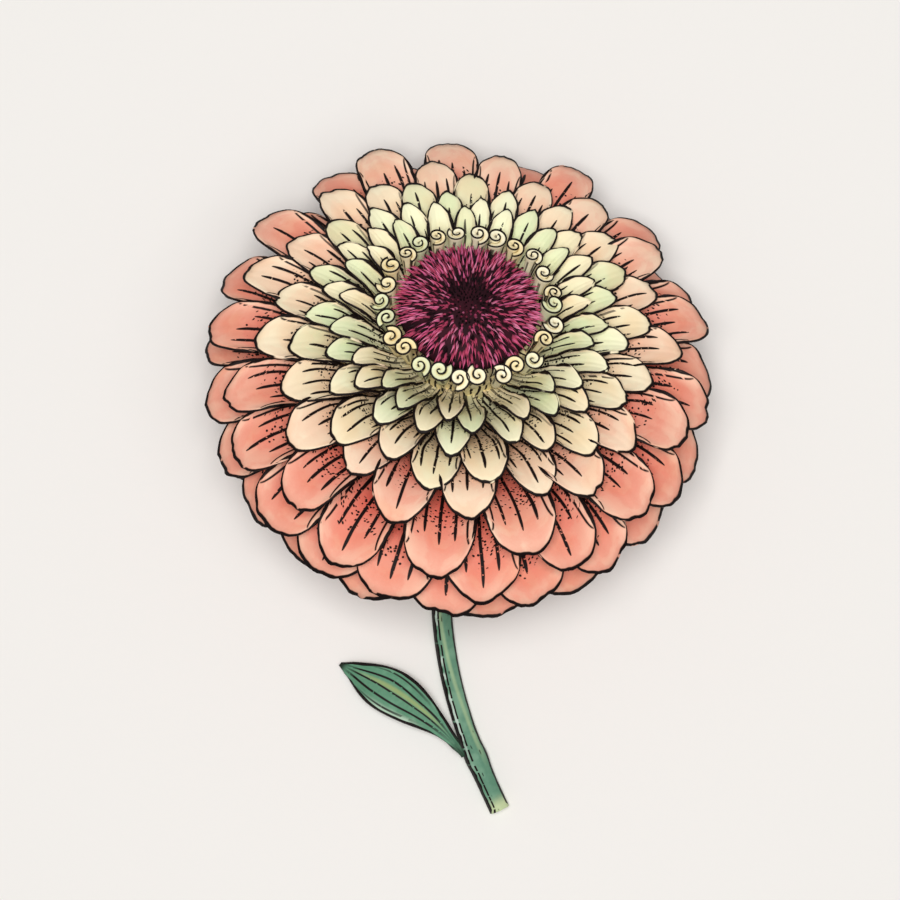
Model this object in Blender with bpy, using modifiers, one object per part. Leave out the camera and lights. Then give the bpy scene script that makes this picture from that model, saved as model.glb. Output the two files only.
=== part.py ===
"""A cut zinnia: one double bloom on a short stem with one leaf, lying face up on a table.

Metres, +Z up, with the table at z = 0. The bloom is worked out in its own frame, where +Z is its axis
and a profile is a (radius, height) pair, and BLOOM_PLACE then leans it back and sets it on its lowest
petals and its stem.
"""

import math

import bmesh
import bpy
from mathutils import Matrix, Vector

MM = 0.001
GOLDEN_ANGLE = math.radians(137.508)
GAP = 0.3  # between solids that touch on the real flower
ON_AXIS = Matrix.Identity(4)

# Lengths from here on are in millimetres.

# The bloom on the table.
BLOOM_CENTRE = Vector((-0.2, 16.8, 26.4))
BLOOM_LEAN = math.radians(31)
BLOOM_SWAY = math.radians(4.3)  # towards +X, before it leans back
FIRST_PETAL = math.radians(90)
PRESSED_HEIGHT = 0.38  # of the middle of a petal that is pressed flat on the table
TOUCHING = 0.2  # undersides lower than this are laid on the table

# Ray petals, ranked from the lowest and outermost, 0, to the innermost, 1.
PETAL_GROUPS = (("coral_petals", 64), ("peach_petals", 36), ("lime_petals", 48))
GROUP_STEP = 8  # places left out between two groups, so that they stay clear
RANK_LEAD = 0.47  # how much faster the tips climb their route at its lower end
TIP_ROUTE = ((36.8, -13.0), (39.7, -6.6), (41.0, 0.8), (38.7, 11.6), (31.3, 14.1), (25.5, 17.2), (19.4, 19.9))
ROOT_LOW, ROOT_HIGH = -9.2, 12.2
ROOT_SUNK = 1.3  # into the core
GROUP_RISE = 2.35  # height left free of roots between two groups
CORE_LOW_RADIUS, CORE_HIGH_RADIUS = 7.6, 10.2
CORE_BELOW, CORE_ABOVE = 0.55, 1.6  # how far a group's core goes past its lowest and highest root
CORE_FOOT = 2.2  # the same below the lowest root of all
ROOT_RISES = (24, 20)  # in degrees, for the lowest and the innermost petal
TIP_DROOPS = (62, -10)  # in degrees, for the same two
ROOT_HANDLE, TIP_HANDLE = 0.45, 0.35  # of a petal's length, for the curve of its midline
WIDTH_OUTER, WIDTH_INNER = 13.8, 4.1
FAR_SIDE_WIDTH = 0.82  # of those widths, on the side away from the stem
NARROWING = 1.4  # above 1, the outer petals keep their width for longer
WIDEST = 0.74  # of the way along a petal
FOOT_WIDTH = 0.2  # of its full width
TIP_ROUNDINGS = (0.17, 0.23)  # how far the corners of a tip fall back, for the lowest and the innermost petal
CUPPING = 0.8  # how far a petal's edges stand up
PETAL_THICKNESS = 0.65

# The crown: rolled young petals round a disc of needle-like florets.
ROLLS = 26
ROLL_TURNS = 1.3
ROLL_STEPS = 9
ROLL_LENGTH = 5.0
ROLL_SUNK = 0.9
ROLL_INSIDE, ROLL_OUTSIDE = 0.45, 1.55  # radius of the scroll where it starts and ends
ROLL_FOOT = 0.55  # of its girth at the top
ROLL_WALL = 0.5
ROLL_MIDDLE = 13.3  # distance of a roll's middle from the bloom's axis
ROLL_STAGGER = 0.35  # of every other roll, in and out
ROLL_LEAN, ROLL_LEAN_NEAR = 25, 8  # degrees outwards, and how many more on the near side
PLATE_PROFILE = ((10.0, 0.0), (12.8, 2.2), (12.8, 3.2))
DISC_BASE = 3.5  # above the foot of the plate
DISC_PROFILE = (
    (10.0, 0.0), (10.8, 2.0), (11.4, 4.2), (11.2, 5.2),
    (9.0, 6.3), (5.4, 7.0), (2.2, 6.8), (0.0, 6.2),
)
DISC_SHOULDER = 5.2  # height in that profile from which needles grow
NEEDLES = 132
NEEDLE_RADIUS, NEEDLE_LENGTH, NEEDLE_SUNK = 0.75, 1.9, 0.5
NEEDLE_MARGIN = 0.9  # between the disc's shoulder and its outermost needles
NEEDLE_LEAN = 84  # degrees outwards at the rim, and none in the middle

# The green parts.
CUP_PROFILE = ((2.1, -19.3), (3.4, -18.3), (6.2, -15.9), (8.2, -13.4), (8.8, -11.7))
BRACT_ROWS = 3
BRACTS_IN_ROW = 8
# Each for the lowest row and the highest one.
BRACT_ROOTS = ((3.2, -18.0), (6.9, -14.4))
BRACT_TIPS = ((8.4, -14.2), (12.6, -9.7))
BRACT_HALF_WIDTHS = (2.3, 3.3)
BRACT_ROUNDING = 0.34  # how far the corners of its tip fall back
BRACT_BULGE = Vector((0.55, -0.55))
BRACT_THICKNESS = 0.72
STEM_RADIUS = 1.75
STEM_STRAIGHT = 1.5  # of stem below the calyx, before it bends
NODE_SWELL = 1.16  # of the stem's radius, just below the leaf
NECK_SWELL = 0.18  # more than the stem's radius, under the calyx
BEND_STEPS = 4  # points in the bend between the calyx and the table
STEM_SIDE = -2.6  # how far the stem drifts sideways in that bend
# Where the stem lies on the table, as places across and along it from under the bloom's middle.
STEM_LYING = ((-2.9, -32.0), (-2.5, -41.0), (-1.1, -50.0), (1.3, -58.5), (4.1, -65.6), (7.1, -72.2))
NODE_AT = 0.86  # of the way down the stem's route
LEAF_SEAT = math.radians(38)  # how far up the stem's side the leaf sits
LEAF_LENGTH, LEAF_WIDTH, LEAF_THICKNESS = 24.4, 7.6, 0.8
LEAF_HEADINGS = (120, 145)  # in degrees, at its foot and its tip
LEAF_TIP_HEIGHT, LEAF_ARCH, LEAF_FOLD, LEAF_WAVE = 0.8, 1.6, 0.9, 0.35
LEAF_COLUMNS, LEAF_ROWS = 5, 9

COLOURS = {
    "coral_petals": (0.86, 0.38, 0.27),
    "peach_petals": (0.88, 0.60, 0.42),
    "lime_petals": (0.66, 0.68, 0.38),
    "cream_rolls": (0.80, 0.70, 0.42),
    "burgundy_disc": (0.26, 0.03, 0.09),
    "calyx": (0.16, 0.30, 0.17),
    "stem": (0.16, 0.33, 0.21),
    "leaf": (0.12, 0.32, 0.19),
}

BLOOM_TURN = Matrix.Rotation(-BLOOM_LEAN, 4, "X") @ Matrix.Rotation(BLOOM_SWAY, 4, "Y")
BLOOM_PLACE = Matrix.Translation(BLOOM_CENTRE * MM) @ BLOOM_TURN


def clear_scene():
    for old in list(bpy.data.objects):
        bpy.data.objects.remove(old, do_unlink=True)


def scatter(index, salt):
    """A number from -1 to 1 that looks random and is the same on each run."""
    return 2 * (math.sin(index * 12.9898 + salt * 78.233) * 43758.5453 % 1) - 1


def mix(a, b, share):
    return a + (b - a) * share


def cubic(points, t):
    """A point on a cubic curve with four control points in the plane."""
    s = 1 - t
    shares = (s**3, 3 * s * s * t, 3 * s * t * t, t**3)
    return tuple(sum(share * point[axis] for share, point in zip(shares, points)) for axis in range(2))


def cubic_heading(points, t):
    """The unit direction of that curve at t."""
    step = 0.01
    ahead, behind = cubic(points, t + step), cubic(points, t - step)
    return Vector((ahead[0] - behind[0], ahead[1] - behind[1])).normalized()


def route_point(route, share):
    """The point at a share of the way along a smooth curve through the route's points, by Catmull-Rom."""
    ends = [route[0] * 2 - route[1], *route, route[-1] * 2 - route[-2]]
    reach = min(max(share, 0), 1) * (len(route) - 1)
    first = min(int(reach), len(route) - 2)
    t = reach - first
    a, b, c, d = ends[first : first + 4]
    return 0.5 * (2 * b + (c - a) * t + (2 * a - 5 * b + 4 * c - d) * t * t + (3 * b - a - 3 * c + d) * t**3)


def material(name):
    made = bpy.data.materials.new(name)
    made.use_nodes = True
    shader = made.node_tree.nodes["Principled BSDF"]
    shader.inputs["Base Color"].default_value = (*COLOURS[name], 1)
    shader.inputs["Roughness"].default_value = 0.7
    shader.inputs["Metallic"].default_value = 0.0
    return made


def new_object(name, mesh, collection):
    made = bpy.data.objects.new(name, mesh)
    collection.objects.link(made)
    return made


def sheet_object(name, rows, triangles, thickness, collection, place=ON_AXIS):
    """An open sheet of points, thickened to both sides."""
    mesh = bpy.data.meshes.new(name)
    mesh.from_pydata([place @ (Vector(p) * MM) for p in rows], [], triangles)
    made = new_object(name, mesh, collection)
    wall = made.modifiers.new("wall", "SOLIDIFY")
    wall.thickness = thickness * MM
    wall.offset = 0
    return made


def turned_object(name, profile, sides, collection):
    """A closed solid turned about the bloom's axis from (radius, height) points, listed bottom to top."""
    mesh = bpy.data.meshes.new(name)
    points = [(radius * MM, 0, height * MM) for radius, height in reversed(profile)]
    if profile[-1][0] > 0:
        points.insert(0, (0, 0, profile[-1][1] * MM))
    if profile[0][0] > 0:
        points.append((0, 0, profile[0][1] * MM))
    mesh.from_pydata(points, [(i, i + 1) for i in range(len(points) - 1)], [])
    made = new_object(name, mesh, collection)
    made.matrix_world = BLOOM_PLACE
    screw = made.modifiers.new("turn", "SCREW")
    screw.steps = screw.render_steps = sides
    screw.use_merge_vertices = True
    screw.merge_threshold = 0.00001
    return made


def joined(name, core, pieces, collection):
    """Fuses the objects in the collection pieces onto core, and leaves one plain mesh object."""
    union = core.modifiers.new("grow together", "BOOLEAN")
    union.operation = "UNION"
    union.operand_type = "COLLECTION"
    union.collection = pieces
    union.solver = "MANIFOLD"
    bpy.context.view_layer.update()
    graph = bpy.context.evaluated_depsgraph_get()
    mesh = bpy.data.meshes.new_from_object(core.evaluated_get(graph))
    mesh.transform(core.matrix_world)
    for old in [core, *pieces.objects]:
        bpy.data.objects.remove(old, do_unlink=True)
    bpy.data.collections.remove(pieces)
    made = new_object(name, mesh, collection)
    finish(made)
    return made


def finish(made):
    made.data.materials.clear()
    made.data.materials.append(material(made.name))
    made.data.shade_smooth()
    made.data.set_sharp_from_angle(angle=math.radians(40))


def scratch_collection(name):
    made = bpy.data.collections.new(name)
    bpy.context.scene.collection.children.link(made)
    return made


def petal_count():
    return sum(count for _, count in PETAL_GROUPS)


def petal_midline(index, group):
    """The four control points of a petal's midline, as (radius, height), and its place on the tip curve."""
    last = petal_count() - 1
    rank = (index + GROUP_STEP * group) / (last + GROUP_STEP * (len(PETAL_GROUPS) - 1))
    climb = rank * (1 + RANK_LEAD * (1 - rank))
    place = min(max(climb + 0.008 * scatter(index, 1), 0), 1)
    tip = route_point([Vector(point) for point in TIP_ROUTE], place)
    rise_share = index / last
    free = ROOT_HIGH - ROOT_LOW - GROUP_RISE * (len(PETAL_GROUPS) - 1)
    root_height = ROOT_LOW + free * rise_share + GROUP_RISE * group
    root = Vector((core_radius(root_height) - ROOT_SUNK, root_height))
    root_rise = math.radians(mix(*ROOT_RISES, place))
    tip_droop = math.radians(mix(*TIP_DROOPS, place**1.15) + 4 * scatter(index, 2))
    length = (tip - root).length
    root_handle = root + Vector((math.cos(root_rise), math.sin(root_rise))) * length * ROOT_HANDLE
    tip_handle = tip - Vector((math.cos(tip_droop), -math.sin(tip_droop))) * length * TIP_HANDLE
    return (root, root_handle, tip_handle, tip), place


def core_radius(height):
    share = (height - ROOT_LOW) / (ROOT_HIGH - ROOT_LOW)
    return mix(CORE_LOW_RADIUS, CORE_HIGH_RADIUS, share)


def blade_spread(along):
    """How wide a petal is along its length, as a share of its full width."""
    return mix(FOOT_WIDTH, 1.0, math.sin(min(along / WIDEST, 1) * math.pi / 2) ** 1.5)


def petal_point(index, group, along, across):
    """A point of a petal's middle surface. along is 0 at the root and 1 at the tip, across -1 to 1."""
    midline, place = petal_midline(index, group)
    arch = 1 - math.sqrt(1 - abs(across) ** 2.2) + 0.15 * abs(across) * (1 - abs(across))
    reach = along * (1 - mix(*TIP_ROUNDINGS, place) * arch)
    radius, height = cubic(midline, reach)
    heading = cubic_heading(midline, reach)
    angle = FIRST_PETAL + GOLDEN_ANGLE * index + math.radians(2) * scatter(index, 4)
    width = mix(WIDTH_OUTER, WIDTH_INNER, place**NARROWING) * (1 + 0.06 * scatter(index, 3))
    width *= mix(1, FAR_SIDE_WIDTH, 0.5 + 0.5 * math.sin(angle))
    sideways = width / 2 * blade_spread(reach) * across
    lift = CUPPING * across**2 * blade_spread(reach) * reach
    radius -= heading[1] * lift
    height += heading[0] * lift
    angle += sideways / radius
    return (radius * math.cos(angle), radius * math.sin(angle), height)


# Points as (along, across). A petal has two at the root, two rows of three, and three on the arch of its tip.
PETAL_POINTS = (
    (0, -1), (0, 1),
    (0.42, -1), (0.42, 0), (0.42, 1),
    (1, -1), (0.76, 0), (1, 1),
    (1, -0.72), (1, 0), (1, 0.72),
)
PETAL_TRIANGLES = (
    (0, 1, 3), (0, 3, 2), (1, 4, 3), (2, 3, 6), (2, 6, 5), (3, 4, 7),
    (3, 7, 6), (5, 6, 8), (6, 10, 8), (6, 7, 10), (8, 10, 9),
)
BRACT_POINTS = ((0, -1), (0, 1), (0.66, -1), (0.6, 0), (0.66, 1), (1, -0.6), (1, 0), (1, 0.6))
BRACT_TRIANGLES = ((0, 1, 3), (0, 3, 2), (1, 4, 3), (2, 3, 5), (3, 6, 5), (3, 7, 6), (3, 4, 7))


def resting(point):
    """A point of a petal in the table's frame. What would pass through the table is pressed out along it."""
    place = BLOOM_PLACE @ (Vector(point) * MM) / MM
    pressed = PRESSED_HEIGHT - place.z
    if pressed > 0:
        place += Vector((0, pressed, pressed))
    return place


def make_petals(collection):
    first = 0
    for group, (name, count) in enumerate(PETAL_GROUPS):
        blades = scratch_collection(name + "_blades")
        for index in range(first, first + count):
            points = [resting(petal_point(index, group, *at)) for at in PETAL_POINTS]
            sheet_object("blade", points, PETAL_TRIANGLES, PETAL_THICKNESS, blades)
        low = root_height_of(first, group) - (CORE_BELOW if group else CORE_FOOT)
        high = root_height_of(first + count - 1, group) + CORE_ABOVE
        profile = [(core_radius(low), low), (core_radius(high), high)]
        core = turned_object("core", profile, 20, collection)
        made = joined(name, core, blades, collection)
        for vertex in made.data.vertices:
            if vertex.co.z < TOUCHING * MM:
                vertex.co.z = 0
        first += count


def root_height_of(index, group):
    return petal_midline(index, group)[0][0][1]


def crown_base():
    """Height of the top of the petals' core, which the crown stands on."""
    return root_height_of(petal_count() - 1, len(PETAL_GROUPS) - 1) + CORE_ABOVE + GAP


def make_rolls(collection):
    """Young petals still rolled up, seen end on as a ring of little scrolls."""
    foot = crown_base()
    rolls = scratch_collection("rolls")
    for index in range(ROLLS):
        angle = math.tau * index / ROLLS + math.radians(2) * scatter(index, 11)
        # Those on the near side lean out further, so that all of them face up from the table.
        lean = math.radians(ROLL_LEAN - ROLL_LEAN_NEAR * math.sin(angle))
        outer = ROLL_STAGGER * (1 if index % 2 else -1)
        radius = ROLL_MIDDLE + outer - math.tan(lean) * ROLL_LENGTH / 2
        length = ROLL_LENGTH - outer + 0.4 * scatter(index, 12)
        hand = 1 if scatter(index, 13) > 0 else -1
        at = Matrix.Translation((radius * MM, 0, (foot + PLATE_PROFILE[-1][1]) * MM))
        place = BLOOM_PLACE @ Matrix.Rotation(angle, 4, "Z") @ at @ Matrix.Rotation(lean, 4, "Y")
        start = math.pi * scatter(index, 14)
        rows = []
        for end, girth in ((-ROLL_SUNK, ROLL_FOOT), (length, 1)):
            for step in range(ROLL_STEPS + 1):
                share = step / ROLL_STEPS
                reach = mix(ROLL_INSIDE, ROLL_OUTSIDE, share) * girth
                turn = start + hand * math.tau * ROLL_TURNS * share
                rows.append((reach * math.cos(turn), reach * math.sin(turn), end))
        above = ROLL_STEPS + 1
        triangles = []
        for a in range(ROLL_STEPS):
            triangles += [(a, a + 1, a + above + 1), (a, a + above + 1, a + above)]
        sheet_object("roll", rows, triangles, ROLL_WALL, rolls, place)
    plate = turned_object("plate", [(radius, foot + up) for radius, up in PLATE_PROFILE], 26, collection)
    joined("cream_rolls", plate, rolls, collection)


def disc_height(radius):
    """Height over its base of the disc's dome at a radius."""
    upper = [point for point in DISC_PROFILE if point[1] >= DISC_SHOULDER]
    for outer, inner in zip(upper, upper[1:]):
        if inner[0] <= radius <= outer[0]:
            return mix(inner[1], outer[1], (radius - inner[0]) / (outer[0] - inner[0]))
    return DISC_SHOULDER


def needle_mesh():
    mesh = bpy.data.meshes.new("needle")
    form = bmesh.new()
    length = NEEDLE_LENGTH * MM
    middle = Matrix.Translation((0, 0, length / 2))
    bmesh.ops.create_cone(
        form, cap_ends=True, segments=3, radius1=NEEDLE_RADIUS * MM, radius2=0, depth=length, matrix=middle
    )
    form.to_mesh(mesh)
    form.free()
    return mesh


def make_disc(collection):
    """The domed disc, with needles that stand up in the middle and comb outwards at the rim."""
    base = crown_base() + DISC_BASE
    needles = scratch_collection("needles")
    rim = max(radius for radius, height in DISC_PROFILE if height >= DISC_SHOULDER)
    for index in range(NEEDLES):
        share = math.sqrt((index + 0.5) / NEEDLES)
        radius = (rim - NEEDLE_MARGIN) * share
        lean = math.radians(NEEDLE_LEAN * share + 5 * scatter(index, 21))
        foot = Vector((radius, 0, base + disc_height(radius) - NEEDLE_SUNK))
        spin = Matrix.Rotation(GOLDEN_ANGLE * index, 4, "Z")
        place = BLOOM_PLACE @ spin @ Matrix.Translation(foot * MM) @ Matrix.Rotation(lean, 4, "Y")
        needle = new_object("needle", needle_mesh(), needles)
        needle.matrix_world = place
    profile = [(radius, base + height) for radius, height in DISC_PROFILE]
    joined("burgundy_disc", turned_object("dome", profile, 20, collection), needles, collection)


def make_calyx(collection):
    """The green cup under the petals, with rows of rounded bracts that overlap like tiles."""
    bracts = scratch_collection("bracts")
    for row in range(BRACT_ROWS):
        share = row / (BRACT_ROWS - 1)
        root = Vector(BRACT_ROOTS[0]).lerp(Vector(BRACT_ROOTS[1]), share)
        tip = Vector(BRACT_TIPS[0]).lerp(Vector(BRACT_TIPS[1]), share)
        midline = (root, root.lerp(tip, 0.35) + BRACT_BULGE, root.lerp(tip, 0.7) + BRACT_BULGE, tip)
        half = mix(*BRACT_HALF_WIDTHS, share)
        for index in range(BRACTS_IN_ROW):
            angle = math.tau * (index + 0.5 * (row % 2)) / BRACTS_IN_ROW
            angle += math.radians(3) * scatter(index, 31 + row)
            points = []
            for along, across in BRACT_POINTS:
                reach = along * (1 - BRACT_ROUNDING * across**2)
                radius, height = cubic(midline, reach)
                turn = angle + half * across * mix(0.7, 1, reach) / radius
                points.append((radius * math.cos(turn), radius * math.sin(turn), height))
            sheet_object("bract", points, BRACT_TRIANGLES, BRACT_THICKNESS, bracts, BLOOM_PLACE)
    joined("calyx", turned_object("cup", CUP_PROFILE, 20, collection), bracts, collection)


def stem_route():
    """Points down the middle of the stem, from the calyx to the cut end, on the table."""
    head = BLOOM_PLACE @ Vector((0, 0, (CUP_PROFILE[0][1] - 1.6 * GAP) * MM)) / MM
    down = BLOOM_PLACE.to_3x3() @ Vector((0, 0, -1))
    route = [head]
    head = head + down * STEM_STRAIGHT
    steep = math.pi / 2 - BLOOM_LEAN
    bend = (head.z - STEM_RADIUS) / (1 - math.cos(steep))
    for step in range(BEND_STEPS):
        slope = steep * (1 - step / BEND_STEPS)
        drop = bend * (math.cos(slope) - math.cos(steep))
        away = bend * (math.sin(steep) - math.sin(slope))
        route.append(head + Vector((STEM_SIDE * step / BEND_STEPS, -away, -drop)))
    for across, along in STEM_LYING:
        route.append(Vector((BLOOM_CENTRE.x + across, BLOOM_CENTRE.y + along, STEM_RADIUS)))
    return route


def stem_points():
    route = stem_route()
    steps = 3 * (len(route) - 1)
    return [route_point(route, step / steps) for step in range(steps + 1)]


def node_index(points):
    """Which of the stem's points has the swelling. The leaf grows from the one above it."""
    return round(NODE_AT * (len(points) - 1))


def make_stem(collection):
    points = stem_points()
    node = node_index(points)
    curve = bpy.data.curves.new("stem", "CURVE")
    curve.dimensions = "3D"
    curve.bevel_depth = STEM_RADIUS * MM
    curve.bevel_resolution = 4
    curve.use_fill_caps = True
    line = curve.splines.new("POLY")
    line.points.add(len(points) - 1)
    for index, point in enumerate(points):
        neck = 1 + NECK_SWELL * math.exp(-((index / 2) ** 2))
        swell = 1 + (NODE_SWELL - 1) * math.exp(-(((index - node) / 0.9) ** 2))
        line.points[index].radius = neck * swell
        height = max(point.z, STEM_RADIUS * neck * swell)
        line.points[index].co = (point.x * MM, point.y * MM, height * MM, 1)
    made = new_object("stem", curve, collection)
    curve.materials.append(material("stem"))
    return made


def make_leaf(collection):
    """One lance-shaped leaf, its foot seated on the stem and its tip let down to the table."""
    points = stem_points()
    above = node_index(points) - 1
    foot = points[above]
    down_stem = (points[above + 1] - points[above - 1]).normalized()
    outward = Vector((down_stem.y, -down_stem.x, 0))
    foot.z = STEM_RADIUS * NODE_SWELL
    side_up = outward * math.cos(LEAF_SEAT) + Vector((0, 0, math.sin(LEAF_SEAT)))
    start = foot + side_up * (STEM_RADIUS * NODE_SWELL + LEAF_THICKNESS / 2 + GAP)
    sheet = []
    for row in range(LEAF_ROWS):
        along = row / (LEAF_ROWS - 1)
        heading = math.radians(mix(*LEAF_HEADINGS, math.sqrt(along)))
        run = LEAF_LENGTH * along
        middle = start + Vector((math.cos(heading) * run, math.sin(heading) * run, 0))
        middle.z = mix(start.z, LEAF_TIP_HEIGHT, along) + LEAF_ARCH * math.sin(math.pi * along)
        side = Vector((-math.sin(heading), math.cos(heading), 0))
        half = LEAF_WIDTH / 2 * leaf_spread(along)
        for column in range(LEAF_COLUMNS):
            across = 2 * column / (LEAF_COLUMNS - 1) - 1
            fold = LEAF_FOLD * abs(across) * leaf_spread(along)
            wave = LEAF_WAVE * math.sin(along * 17 + across) * across**2
            sheet.append(middle + side * half * across + Vector((0, 0, fold + wave)))
    triangles = []
    for row in range(LEAF_ROWS - 1):
        for column in range(LEAF_COLUMNS - 1):
            a = row * LEAF_COLUMNS + column
            b = a + LEAF_COLUMNS
            triangles += [(a, a + 1, b + 1), (a, b + 1, b)]
    made = sheet_object("leaf", sheet, triangles, LEAF_THICKNESS, collection)
    made.data.materials.append(material("leaf"))
    made.data.shade_smooth()
    return made


def leaf_spread(along):
    """How wide the leaf is along its length, as a share of its full width."""
    return 0.14 + 0.86 * math.sin(math.pi * along**1.45) ** 1.3


def main():
    clear_scene()
    flower = bpy.data.collections.new("zinnia")
    bpy.context.scene.collection.children.link(flower)
    make_petals(flower)
    make_rolls(flower)
    make_disc(flower)
    make_calyx(flower)
    make_stem(flower)
    make_leaf(flower)


main()
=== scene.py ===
import math

import bpy
from mathutils import Matrix, Vector


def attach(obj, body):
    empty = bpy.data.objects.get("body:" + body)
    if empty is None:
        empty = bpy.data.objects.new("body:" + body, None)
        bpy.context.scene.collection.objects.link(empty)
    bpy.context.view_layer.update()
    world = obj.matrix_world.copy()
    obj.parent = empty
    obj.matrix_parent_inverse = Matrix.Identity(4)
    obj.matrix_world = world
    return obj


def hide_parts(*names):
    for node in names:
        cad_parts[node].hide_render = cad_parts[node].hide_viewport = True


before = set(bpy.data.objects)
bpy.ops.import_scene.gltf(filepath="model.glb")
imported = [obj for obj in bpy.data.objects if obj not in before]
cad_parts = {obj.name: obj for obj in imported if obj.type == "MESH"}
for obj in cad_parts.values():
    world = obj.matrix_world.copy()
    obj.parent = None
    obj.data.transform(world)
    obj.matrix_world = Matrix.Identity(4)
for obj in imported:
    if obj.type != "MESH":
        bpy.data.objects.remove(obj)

bl_info = {
    "name": "Cut zinnia",
    "version": (1, 0, 0),
    "blender": (4, 5, 0),
    "location": "3D View > Sidebar > Zinnia",
    "description": "Lays out a cut double zinnia, petal by petal, with its stage, lights and camera",
    "category": "Object",
}

MM = 0.001
QUARTER_TURN = math.pi / 2
GOLDEN_ANGLE = math.radians(137.508)
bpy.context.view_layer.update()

# Where the pieces are, in millimetres: as in the frame's solids, but for the rolls and the disc, which
# differ by a millimetre or two. The bloom is worked out in its own frame, where +Z is its axis and a
# profile is a list of (radius, height) pairs.
PETAL_GROUPS = (
    ("coral_petals", "ray_petals_coral", 64),
    ("peach_petals", "ray_petals_peach", 36),
    ("lime_petals", "ray_petals_lime", 48),
)
LINE_NAMES = ("root", "root_handle", "tip_handle", "tip")
GROUP_STEP = 8
RANK_LEAD = 0.47
TIP_ROUTE = ((36.8, -13.0), (39.7, -6.6), (41.0, 0.8), (38.7, 11.6), (31.3, 14.1), (25.5, 17.2), (19.4, 19.9))
ROOT_LOW, ROOT_HIGH = -9.2, 12.2
ROOT_SUNK = 1.3
GROUP_RISE = 2.35
CORE_LOW_RADIUS, CORE_HIGH_RADIUS = 7.6, 10.2
CORE_FOOT, CORE_ABOVE = 2.2, 1.6
CROWN_BASE = ROOT_HIGH + CORE_ABOVE + 0.3
ROOT_RISES = (24, 20)
TIP_DROOPS, DROOP_LATENESS = (62, -10), 1.15
ROOT_HANDLE, TIP_HANDLE = 0.45, 0.35
WIDTH_OUTER, WIDTH_INNER, NARROWING = 13.8, 4.1, 1.4
FAR_SIDE_WIDTH = 0.82
TIP_ROUNDINGS, INNER_ROUNDING = (0.17, 0.23), 0.05
TIP_POINTS = (0.0, 0.1)
PRESSED_HEIGHT = 0.38

ROLL_LENGTH, ROLL_FOOT_DEPTH, ROLL_MIDDLE, ROLL_STAGGER = 5.0, 1.4, 13.0, 0.35
ROLL_LEAN, ROLL_LEAN_NEAR = 14, 6
ROLL_WALL_SHARE = 0.6
PLATE_PROFILE = ((10.0, 0.0), (12.8, 2.3), (12.8, 3.5))
DISC_BASE = 3.8
DISC_PROFILE = (
    (10.0, 0.0), (10.5, 0.9), (10.9, 2.0), (10.7, 2.9),
    (8.8, 4.4), (5.4, 5.8), (2.2, 6.4), (0.0, 6.3),
)
DISC_SHOULDER, DISC_TOP_RADIUS = 2.9, 0.2
DOME_SCALE = 8.0

CUP_PROFILE = ((2.1, -19.3), (3.4, -18.3), (6.2, -15.9), (8.2, -13.4), (8.8, -11.7))
BRACT_ROOTS = ((3.2, -18.0), (6.9, -14.4))
BRACT_TIPS = ((8.4, -14.2), (12.6, -9.7))
BRACT_HALF_WIDTHS = (2.3, 3.3)
BRACT_BULGE = Vector((0.55, -0.55))
BRACT_HANDLES = (0.35, 0.7)
BRACT_ROUNDING, BRACT_POINT = 0.34, 0.1
STEM_RADIUS = 1.75
STEM_STRAIGHT = 1.5
NODE_SWELL, NECK_SWELL = 1.16, 0.18
NODE_SPAN, NECK_SPAN = 0.9, 2
STEM_BELOW_CUP, STEM_FINENESS = 0.48, 3
BEND_STEPS = 4
STEM_SIDE = -2.6
STEM_LYING = ((-2.9, -32.0), (-2.5, -41.0), (-1.1, -50.0), (1.3, -58.5), (4.1, -65.6), (7.1, -72.2))
NODE_AT = 0.86
LEAF_SEAT = math.radians(38)
LEAF_LENGTH, LEAF_WIDTH, LEAF_THICKNESS = 24.4, 7.6, 0.8
LEAF_HEADINGS = (120, 145)
LEAF_FOOT = 1.5
LEAF_TIP_HEIGHT, LEAF_ARCH, LEAF_FOLD = 0.8, 1.6, 0.9
LEAF_WAVE, LEAF_WAVES = 0.35, 17
LEAF_PLEAT, LEAF_PLEATS = 0.12, 6.4
LEAF_NARROWEST, LEAF_BELLY, LEAF_FULLNESS = 0.14, 1.45, 1.3
LEAF_POINT_FROM, LEAF_POINT = 0.94, 0.062
LEAF_CLEAR = 0.3
LEAF_COLUMNS, LEAF_ROWS, LEAF_CHANCE = 21, 49, 0.37

# How each group's petals differ: where a petal is widest, how much it tapers past that, and its foot.
GROUP_SHAPES = (
    {"Widest": 0.74, "Taper": 0.0, "Foot Width": 0.2},
    {"Widest": 0.7, "Taper": 0.12, "Foot Width": 0.3},
    {"Widest": 0.62, "Taper": 0.24, "Foot Width": 0.6},
)
# How far a petal or a roll may stray from the rule: degrees for headings and droops, millimetres for a
# roll's reach, and shares for the rest.
PLACE_STRAY, WIDTH_STRAY, HEADING_STRAY, DROOP_STRAY = 0.008, 0.06, 2, 4
POINT_STRAY, TILT_STRAY = 0.12, 0.1
ROLL_REACH_STRAY, ROLL_SIZE_STRAY = 0.4, 0.16
# Bracts stray by degrees, and their wall is in metres.
BRACT_ROWS, BRACTS_IN_ROW, BRACT_STRAY, BRACT_WALL = 3, 8, 3, 0.0006
BRACT_SHAPE = {
    "Foot Width": 0.7, "Widest": 0.9, "Cupping": -0.2, "Fold": 0.0, "Pleats": 0.04, "Ruffle": 0.06,
    "Ragged": 0.04, "Columns": 13, "Rows": 13,
}
CORE_STEPS = 6
CORE_SIDES, CUP_SIDES, CROWN_SIDES = 40, 48, 64
PLATE_INSET = 0.93
SHARP_FROM = math.radians(40)
STEM_LINES = 9.0
INK_EDGE = 0.09
# The depth of the skins' fine relief, in metres.
RELIEF_DEPTH = 0.00012

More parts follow.
